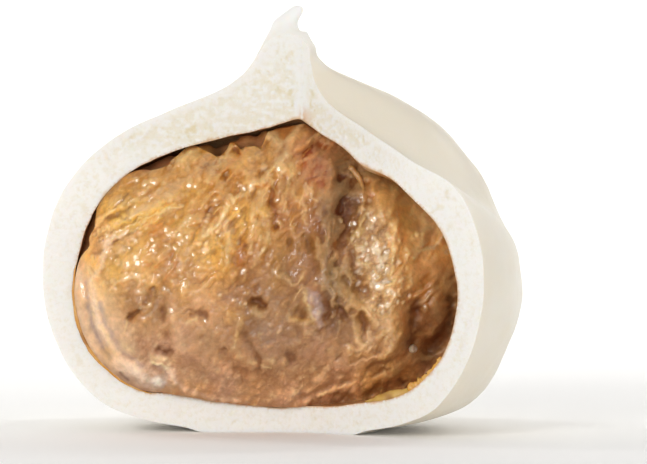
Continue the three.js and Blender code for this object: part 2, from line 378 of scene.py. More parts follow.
def makeCrumbFinish():
    f = Finish("doughCrumb")
    pore, stain = f.attribute("pore"), f.attribute("stain")
    speckle = f.spread(f.noise(1300, 4, 0.7), 0.5, 0.7)
    opened = f.maths("MINIMUM", f.maths("ADD", pore, f.maths("MULTIPLY", speckle, 0.32)), 1.0)
    shaded = f.spread(f.height(), *dough["shadeHeights"])
    crumb = f.mix(shaded, colour(dough["crumb"]), colour(dough["crumbShade"]))
    white = f.mix(f.maths("MULTIPLY", opened, dough["poreShare"]), crumb, colour(dough["pore"]))
    f.set(Base_Color=f.mix(stain, white, colour(dough["juiceEdge"])))
    f.set(Roughness=f.spread(f.noise(900, 3), 0.3, 0.7, 0.64, 0.84))
    f.set(Subsurface_Weight=0.4, Subsurface_Radius=(1.0, 0.75, 0.5), Subsurface_Scale=0.0015)
    f.set(Normal=f.bump(f.noise(1300, 5, 0.65), 0.00022, 0.8))
    return f.material


def makeWallFinish():
    f = Finish("soakedDough")
    patches, clean = f.spread(f.noise(300, 4), 0.35, 0.7), f.spread(f.noise(70, 5, 0.65), 0.42, 0.62)
    juicy = f.mix(patches, colour(dough["soaked"]), colour(dough["soakedPatch"]))
    f.set(Base_Color=f.mix(f.maths("MULTIPLY", clean, 0.85), juicy, colour(dough["damp"])))
    f.set(Roughness=f.spread(f.noise(700, 3), 0.3, 0.7, 0.25, 0.5))
    f.set(Normal=f.bump(f.noise(500, 4), 0.0003, 0.7))
    return f.material


finishes = {
    "skin": makeSkinFinish(),
    "crumb": makeCrumbFinish(),
    "wall": makeWallFinish(),
}
print("dough finishes made")


# the cut faces of the steamed dough, in millimetres
crumb = {
    "spacing": 0.33,
    "rowShare": 0.866,  # how far apart the rows of points lie, as a share of the spacing
    "poreDepth": 0.3,
    "rim": 1.1,  # the skin's dense edge has no pores
    "crown": 40,  # above this height the pores lie level, below it they follow the wall round its middle
    "middle": 25,
    "open": ((44, 50), (58, 66)),  # where the crumb above the ceiling opens up and closes again
    "stainReach": 0.6,
    "seamReach": {"left": 0.5, "right": 1.6},  # how far juice has crept from the crease
    "seed": 11,
}
doughFaces = ["skin", "wall", "crumb"]  # the order of the wrapper's finishes
wallFace, crumbFace = doughFaces.index("wall"), doughFaces.index("crumb")


def bunShell():
    shares = 1 - (1 - np.linspace(0, 1, bun["rows"])) ** bun["towardsTop"]
    bearings = turnSteps(bun["columns"])
    points = skinPoints(shares, bearings)
    flat = points[1:-1].reshape(-1, 3)
    away = np.stack([np.cos(np.radians(bearings)), np.sin(np.radians(bearings)), 0 * bearings], axis=-1)
    waves = np.array([noise.fractal(Vector(p) * bun["waveScale"], 1.0, 2.0, 3) for p in flat])
    waves = waves.reshape(len(points) - 2, -1) * smoothstep(points[1:-1, :, 2], 3, 10)
    points[1:-1] += bun["skinWaves"] * waves[..., None] * away
    return ringPiece("doughWrapper", points, finishes["skin"])


def hollowShell():
    def rough(x, y, z):
        return 0.15 * layeredNoise(x / 1.7 + 20 + y, z / 1.7, 31, 3)

    return ringPiece("hollow", hollowPoints(np.linspace(0, 1, 130), turnSteps(240), rough), finishes["wall"])


def knifeBlock():
    turn, reach = math.radians(cut["rightBearing"]), cut["reach"]
    x, y = cut["x"], cut["y"]
    right = (x + reach * math.cos(turn), y + reach * math.sin(turn))
    outline = [(x, y), (x - reach, y), (x - reach, -reach), (right[0], -reach), right]
    places = [(px, py, z) for z in (-5, bunHeight + 5) for px, py in outline]
    n = len(outline)
    faces = [tuple(range(n - 1, -1, -1)), tuple(range(n, 2 * n))]
    faces += [(i, (i + 1) % n, (i + 1) % n + n, i + n) for i in range(n)]
    return newPiece("knife", places, faces, finishes["crumb"])


def insideLoops(points, starts, ends):
    # which 2D points lie inside closed loops, by counting the edges to their right
    inside = np.zeros(len(points), bool)
    for (ax, az), (bx, bz) in zip(starts, ends):
        if az == bz:
            continue
        crosses = (points[:, 1] > az) != (points[:, 1] > bz)
        inside ^= crosses & (points[:, 0] < ax + (points[:, 1] - az) * (bx - ax) / (bz - az))
    return inside


def triangulate(points, edges):
    # triangles between flat points that keep the order they were given in
    _, _, faces, sources, _, _ = delaunay_2d_cdt([Vector(p) for p in points], edges, [], 0, 1e-7)
    first = [s[0] if s else -1 for s in sources]
    return np.array([[first[i] for i in f] for f in faces if len(f) == 3 and all(first[i] >= 0 for i in f)])


def crumbPoints(rim, wallSide, starts, ends):
    # uneven points inside a cut face, and how far each is from the skin and from the hollow's wall
    step, rowShare = crumb["spacing"], crumb["rowShare"]
    low, high = rim.min(0), rim.max(0)
    columns, rows = int((high[0] - low[0]) / step) + 2, int((high[1] - low[1]) / (step * rowShare)) + 2
    row, column = np.meshgrid(np.arange(rows), np.arange(columns), indexing="ij")
    across, up = low[0] + (column + 0.5 * (row % 2)) * step, low[1] + row * step * rowShare
    points = np.stack([across, up], axis=-1).reshape(-1, 2)
    rng = np.random.default_rng(crumb["seed"])
    points += rng.uniform(-0.25, 0.25, points.shape) * step
    points = points[insideLoops(points, starts, ends)]
    toSkin, toWall = (
        np.min([np.hypot(points[:, 0] - px, points[:, 1] - pz) for px, pz in side], axis=0)
        for side in (rim[~wallSide], rim[wallSide])
    )
    keep = np.minimum(toSkin, toWall) > step * 0.55
    return points[keep], toSkin[keep], toWall[keep]


def crumbTexture(t, z, toSkin, toWall, seamReach):
    # how open, how stained and how deep the crumb is; its pores are drawn out along the skin
    above = band(z, *crumb["open"])
    across = np.where(z > crumb["crown"], z, toSkin)
    around = np.where(z > crumb["crown"], t, np.degrees(np.arctan2(z - crumb["middle"], t)) * 0.6)
    bent = around + 0.5 * softNoise(t / 1.3, z / 1.3, 50)
    big = smoothstep(layeredNoise(bent / 0.7 + 40, across / 1.1, 51, 3), 0.16, 0.6)
    small = smoothstep(layeredNoise(bent / 0.42 + 90, across / 0.7, 52, 2), 0.2, 0.6)
    patchy = smoothstep(layeredNoise(t / 5 + 9, z / 5, 53, 3), -0.35, 0.35)
    pore = np.maximum(big, small * 0.6) * (0.3 + 0.7 * patchy) * (0.45 + 0.55 * above)
    pore = np.maximum(pore, 0.45 * above * smoothstep(layeredNoise(t / 0.8, z / 0.5, 57, 2), -0.3, 0.3))
    pore *= smoothstep(toSkin, crumb["rim"] * 0.6, crumb["rim"] * 1.5)
    drag = 0.12 * layeredNoise(t / 2.2, z / 2.2, 54, 3)
    depth = (pore * crumb["poreDepth"] + drag + 0.05) * smoothstep(np.minimum(toSkin, toWall), 0.1, 0.6)
    patches = 0.3 + 0.5 * smoothstep(layeredNoise(t / 3.5, z / 3.5, 56, 2), -0.2, 0.4)
    ragged = toWall + 0.3 * layeredNoise(t / 1.2, z / 1.2, 55, 2)
    stain = patches * (1 - smoothstep(ragged, 0.0, crumb["stainReach"]))
    seam = np.exp(-((t / seamReach) ** 2)) * smoothstep(z, 49, 51.5) * (1 - smoothstep(z, 52.5, 55.5))
    return pore, np.maximum(stain, seam * 0.75), depth


def fillCutFace(bm, layers, direction, normal, creaseEdges, seamReach):
    # lays a fine, porous crumb face over one stroke of the knife
    corner = np.array([cut["x"], cut["y"], 0.0])
    nearly = 2e-3

    def flat(vert):
        return (np.array(vert.co) / mm - corner) @ direction, vert.co.z / mm

    def onFace(vert):
        return abs((np.array(vert.co) / mm - corner) @ normal) < nearly and flat(vert)[0] > -nearly

    rimEdges = [e.verts for e in bm.edges if len(e.link_faces) == 1 and all(onFace(v) for v in e.verts)]
    rimEdges += creaseEdges
    verts = list(dict.fromkeys(v for pair in rimEdges for v in pair))
    index = {v: i for i, v in enumerate(verts)}
    edges = [(index[a], index[b]) for a, b in rimEdges]
    rim = np.array([flat(v) for v in verts])
    starts, ends = rim[[a for a, b in edges]], rim[[b for a, b in edges]]
    wallSide = np.array([any(f.material_index == wallFace for f in v.link_faces) for v in verts])
    inner, toSkin, toWall = crumbPoints(rim, wallSide, starts, ends)
    t, z = inner.T
    pore, stain, depth = crumbTexture(t, z, toSkin, toWall, seamReach)

    places = corner + t[:, None] * direction + z[:, None] * np.array([0, 0, 1.0]) - depth[:, None] * normal
    flatPoints = np.vstack([rim, inner])
    tris = triangulate(flatPoints, edges)
    tris = tris[insideLoops(flatPoints[tris].mean(1), starts, ends)]
    a, b, c = (flatPoints[tris[:, i]] for i in range(3))
    area = (b[:, 0] - a[:, 0]) * (c[:, 1] - a[:, 1]) - (b[:, 1] - a[:, 1]) * (c[:, 0] - a[:, 0])
    towards = np.cross(direction, [0, 0, 1]) @ normal
    made = list(verts)
    for place, p, s in zip(places * mm, pore, stain):
        v = bm.verts.new(place)
        v[layers["pore"]], v[layers["stain"]] = p, s
        made.append(v)
    for tri, size in zip(tris, area):
        order = tri if size * towards > 0 else tri[::-1]
        try:
            face = bm.faces.new([made[i] for i in order])
        except ValueError:  # that face is there already
            continue
        face.material_index = crumbFace


def creasePairs(bm, corner):
    # the crease where the two strokes meet: through the floor, then from the ceiling up
    onCrease = [v for v in bm.verts if np.hypot(*(np.array(v.co)[:2] / mm - corner)) < 3e-3]
    bmesh.ops.remove_doubles(bm, verts=onCrease, dist=5e-5)
    onCrease = [v for v in onCrease if v.is_valid]
    onCrease.sort(key=lambda v: v.co.z)
    print("crease ends at", [round(v.co.z / mm, 2) for v in onCrease])
    pairs = []
    for low, high in zip(onCrease[::2], onCrease[1::2]):
        steps = int((high.co.z - low.co.z) / mm / crumb["spacing"])
        chain = [low] + [bm.verts.new(low.co.lerp(high.co, k / steps)) for k in range(1, steps)] + [high]
        pairs += list(zip(chain[:-1], chain[1:]))
    return pairs


def makeWrapper():
    wrapper = bunShell()
    carve(wrapper, knifeBlock(), "DIFFERENCE")
    carve(wrapper, hollowShell(), "DIFFERENCE")
    names = [m.name for m in wrapper.data.materials]
    print("wrapper carved:", len(wrapper.data.polygons), "faces, finishes", names)

    bm = bmesh.new()
    bm.from_mesh(wrapper.data)
    order = [names.index(finishes[key].name) for key in doughFaces]
    for face in bm.faces:
        face.material_index = order.index(face.material_index)
    bmesh.ops.delete(bm, geom=[f for f in bm.faces if f.material_index == crumbFace], context="FACES")
    layers = {key: bm.verts.layers.float.new(key) for key in ("pore", "stain")}
    for v in bm.verts:
        if any(f.material_index == wallFace for f in v.link_faces):
            v[layers["stain"]] = 0.9

    pairs = creasePairs(bm, (cut["x"], cut["y"]))
    turn = math.radians(cut["rightBearing"])
    leftWay, leftNormal = np.array([-1.0, 0, 0]), np.array([0, -1.0, 0])
    rightWay = np.array([math.cos(turn), math.sin(turn), 0])
    rightNormal = np.array([math.sin(turn), -math.cos(turn), 0])
    fillCutFace(bm, layers, leftWay, leftNormal, pairs, crumb["seamReach"]["left"])
    fillCutFace(bm, layers, rightWay, rightNormal, pairs, crumb["seamReach"]["right"])
    bmesh.ops.remove_doubles(bm, verts=bm.verts[:], dist=1e-7)
    for face in bm.faces:
        face.smooth = True
    for e in bm.edges:
        if len(e.link_faces) == 2 and e.link_faces[0].material_index != e.link_faces[1].material_index:
            e.smooth = False
    print("open edges left:", sum(len(e.link_faces) != 2 for e in bm.edges), "of", len(bm.edges))
    bmesh.ops.triangulate(bm, faces=[f for f in bm.faces if len(f.verts) > 4])
    wrapper.data.materials.clear()
    for key in doughFaces:
        wrapper.data.materials.append(finishes[key])
    bm.to_mesh(wrapper.data)
    bm.free()
    return wrapper


wrapper = makeWrapper()
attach(wrapper, "root")
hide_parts("dough_wrapper")
print("wrapper made:", triangleCount(wrapper), "triangles")


# the meat, in millimetres
meat = {
    "centre": (-3, 25.5),
    "half": (34, 24),
    "rimDepth": 1.0,  # how deep its rim lies at the upper right; elsewhere it is flush with the cut
    "rimAcross": (-24, -14),
    "rimUp": (26, 42),
    "rimWidth": 12,
    "bulge": 7.5,
    "dome": 2.6,
    "recess": 3.4,
    "recessSpan": (10, 25),
    "tearShare": 0.75,
    "cell": 0.2,
    "across": (-36, 36),
    "up": (3, 53.5),
    "back": 42,
    "relief": 1.0,
    "clumpRelief": 0.46,
    "fibreRelief": 0.6,
    "smooth": {"lip": 1, "farRight": 0.7, "bulge": 0.45, "strings": 0.3, "tangle": 0.45},
    "looseFibres": 80,
    "strandTint": 0.62,
    "strandSeed": 8,
    "smallBeads": 200,
    "beadArea": ((-32, 24), (20, 47)),
    "beadSize": (0.25, 0.5),
    "beadSlope": (-0.25, 0.2),
    "beadSeed": 5,
    "dryLine": [(9, 43), (8.6, 38), (8, 34), (7.6, 30)],
    "base": "#C48C4E",
    "balance": (1.04, 1.09, 1.14),
    "brightest": 0.9,
    # painted shade for the clefts
    "cleft": "#7A3E12",
    # meat set back from the front: a darker brown, partly painted shade, with painted shade darkest in the
    # gap under the ceiling
    "inner": "#A06A44",
    "innerShade": "#4A2A14",
    "innerShadeAt": -11.5,
}
# the darkest tint and the shade tint are painted shade for pits and clefts, and the palest is a painted
# highlight, partly on pale fat
tints = {
    "golden": "#E2A544", "strand": "#E6B884", "yellow": "#E0A633", "orange": "#CE7E34", "lilac": "#CDB4B2",
    "amber": "#BE701C", "rust": "#A0561A", "umber": "#6E481E", "paleFatGlint": "#F5E2C6", "lavender": "#B3958B",
    "cream": "#EBC588", "peach": "#E6B080", "lip": "#F2CDAA", "tan": "#C48E52", "pink": "#C48C68",
    "grey": "#A98165", "brown": "#8C582C", "olive": "#8E662C", "pitShade": "#572A10", "shade": "#6E4428",
    "fat": "#CDA552", "juice": "#C98A2C",
}
# where each kind of torn meat lies: middle, reach, tilt in degrees, its tint; the valley's darker tint is
# partly painted shade, the far right's bright one partly painted light
regions = {
    "strings": ((-22, 38), (12, 8), 25, "#DEA24C"),
    "bulge": ((-24, 28), (10, 6.5), 0, "#EBB266"),
    "ridges": ((-8, 37), (9, 11), -30, "#DA963E"),
    "tangle": ((3.5, 36), (6, 9), 0, "#BE8040"),
    "valley": ((10.8, 34), (3, 9), 0, "#A87238"),
    "topRight": ((4.8, 46), (6, 5.5), -30, "#B4581A"),
    "granules": ((16.2, 28), (4.2, 9), 8, "#E8BE88"),
    "paste": ((-5, 15), (20, 9), 0, "#BA8659"),
    "farRight": ((26, 27), (6, 9), 0, "#EAA058"),
    "foot": ((17, 9), (12, 4.5), 20, "#CE945C"),
    "lip": ((-30.6, 18.5), (12.5, 4.4), 110, "#F0CBA4"),
}
# torn fibres in each region: share of the relief, tilt in degrees, length, width and seed
fibreRuns = [
    ("strings", 0.7, 27, 9, 1.3, 71), ("strings", 0.45, 29, 6, 0.6, 79), ("ridges", 1.0, 55, 5, 1.5, 72),
    ("ridges", 0.5, 60, 3, 0.7, 80), ("tangle", 0.95, 78, 4, 0.9, 73), ("valley", 0.7, 88, 3.5, 0.9, 74),
    ("farRight", 0.5, 35, 5, 1.8, 75), ("foot", 0.5, 22, 9, 1.8, 76), ("lip", 0.5, 112, 12, 1.5, 77),
]
# which way the short loose fibres of each region run, in degrees
looseRuns = {"strings": 27, "ridges": 56, "tangle": 80, "valley": 92, "farRight": 35, "foot": 20,
             "granules": 62, "topRight": 50, "bulge": 40}
# broad washes over the finished front, partly tint, partly painted light and shade: how much red, green and
# blue each leaves, its width and its line
lightShadeAndTintWashes = [
    ((1.32, 1.5, 1.7), 2.8, [(-22, 11), (-16, 9.5), (-9, 8)]),
    ((1.4, 1.45, 1.5), 2.6, [(-5, 6.5), (4, 7), (12, 8.5), (19, 10.5)]),
    ((1.2, 1.2, 1.2), 2.5, [(-17, 13), (-12, 15), (-13, 22)]),
    ((1.35, 1.25, 1.05), 2.2, [(-31, 36), (-32, 30), (-32, 24)]),
    ((0.62, 0.54, 0.38), 3.2, [(-24.5, 22), (-20.5, 22)]),
    ((0.9, 0.8, 0.6), 2.4, [(-20, 32), (-17, 27)]),
    ((1.2, 1.3, 1.15), 2.4, [(-29, 36), (-24, 37), (-19, 36.5)]),
    ((0.82, 0.66, 0.4), 3.2, [(-24, 42.5), (-18, 43.5), (-12, 45), (-7, 47), (-10, 41)]),
    ((1.3, 1.55, 2), 2.3, [(-12, 31.5), (-9, 33.5), (-7, 37)]),
    ((0.68, 0.58, 0.4), 2.8, [(-7, 30), (-5, 24), (-6, 18)]),
    ((0.74, 0.72, 0.7), 4.5, [(1, 30), (2, 20), (2, 15)]),
    ((0.36, 0.22, 0.08), 2.8, [(11.2, 44), (10.2, 39), (9.8, 34)]),
    ((0.62, 0.52, 0.3), 2.4, [(7.5, 38), (6, 31)]),
    ((0.5, 0.42, 0.28), 2.2, [(8.6, 28), (8.4, 24), (8.8, 19)]),
    ((0.7, 0.6, 0.42), 2, [(12.5, 27), (13, 20)]),
    ((0.74, 0.4, 0.14), 2.8, [(4, 48), (6, 46), (7, 43.5)]),
    ((0.78, 0.66, 0.4), 2.6, [(0, 41), (2, 36)]),
    ((1.8, 2.2, 2.4), 2.6, [(19, 40), (22.5, 35.5), (25, 31.5)]),
    ((1.3, 1.35, 1.25), 2, [(19.6, 31), (20, 19)]),
    ((0.62, 0.56, 0.45), 2.2, [(25, 25), (25.5, 20)]),
    ((0.4, 0.4, 0.42), 1.8, [(28.6, 26), (28.4, 18), (24.5, 12.5)]),
    ((0.5, 0.45, 0.4), 1.3, [(22.3, 21.5), (22.4, 18), (21.8, 15.5)]),
    ((0.5, 0.4, 0.35), 1.2, [(-23, 44.3), (-19, 45.4)]),
    ((1.2, 1.26, 1.4), 2.4, [(-19, 7.8), (-10, 6.6), (0, 6), (12, 6.8)]),
    ((1.12, 1.18, 1.3), 2.2, [(-19, 11), (-14, 9)]),
    ((0.82, 0.72, 0.48), 2, [(12, 37), (12, 34)]),
    ((1, 0.86, 0.64), 2.2, [(15, 41), (18, 39)]),
    ((0.78, 0.74, 0.72), 2, [(8, 25), (8.5, 17)]),
    ((0.85, 0.8, 0.72), 1.7, [(12, 21), (12.4, 16)]),
    ((0.84, 0.74, 0.6), 1.5, [(-33.6, 23), (-32.8, 19), (-31.2, 15), (-28.8, 11.8)]),
    ((1.2, 1.2, 1.12), 2.8, [(-26, 20), (-23, 17), (-19.5, 18)]),
    ((1.24, 1.3, 1.4), 2.4, [(22.6, 40), (25, 36)]),
    ((1.12, 1.22, 1.3), 2, [(24, 32), (28, 31)]),
    ((0.86, 0.82, 0.68), 2, [(-20.5, 32.5), (-16.5, 28), (-15.5, 24)]),
    ((1.1, 1.14, 1.22), 2, [(-8, 36), (-7, 33)]),
    ((0.92, 0.8, 0.62), 2, [(-4, 33), (-3.6, 30)]),
    ((0.9, 0.95, 1.08), 3.5, [(-22, 17), (-14, 14)]),
    ((0.85, 0.66, 0.42), 2.2, [(8.4, 38.5), (8, 35)]),
    ((0.95, 0.8, 0.6), 2, [(8, 44.5), (7.6, 42)]),
    ((0.78, 0.7, 0.56), 1.5, [(-0.4, 48.5), (0.6, 48)]),
    ((1.05, 0.93, 0.72), 2, [(15.5, 40.4), (16.6, 39.6)]),
    ((0.88, 0.82, 0.6), 1.8, [(12, 37), (12, 35.6)]),
    ((1.25, 1.28, 1.25), 2, [(23, 41), (25.5, 38)]),
    ((1.12, 1.2, 1.4), 2, [(24.2, 36.6), (25, 35.4)]),
    ((1.2, 1.18, 0.92), 2, [(20, 37), (20, 35)]),
    ((1.12, 1.2, 1.2), 1.8, [(12, 32.6), (12, 31.4)]),
    ((0.88, 0.82, 0.78), 2, [(-28.5, 20), (-27.5, 17)]),
    ((1.1, 1.12, 1.05), 2.4, [(-12, 25), (-8, 28.5)]),
    ((0.86, 0.88, 0.92), 2.2, [(-4, 20), (-4, 14)]),
    ((0.84, 0.87, 0.87), 2, [(-12, 17.5), (-11.5, 15)]),
    ((0.85, 0.85, 0.94), 2, [(0, 28.5), (0.4, 27.6)]),
    ((0.84, 0.82, 0.84), 2, [(8.4, 28), (12, 27.5)]),
    ((1.15, 1.3, 1.35), 1.6, [(-20.4, 8.5), (-19, 8)]),
]
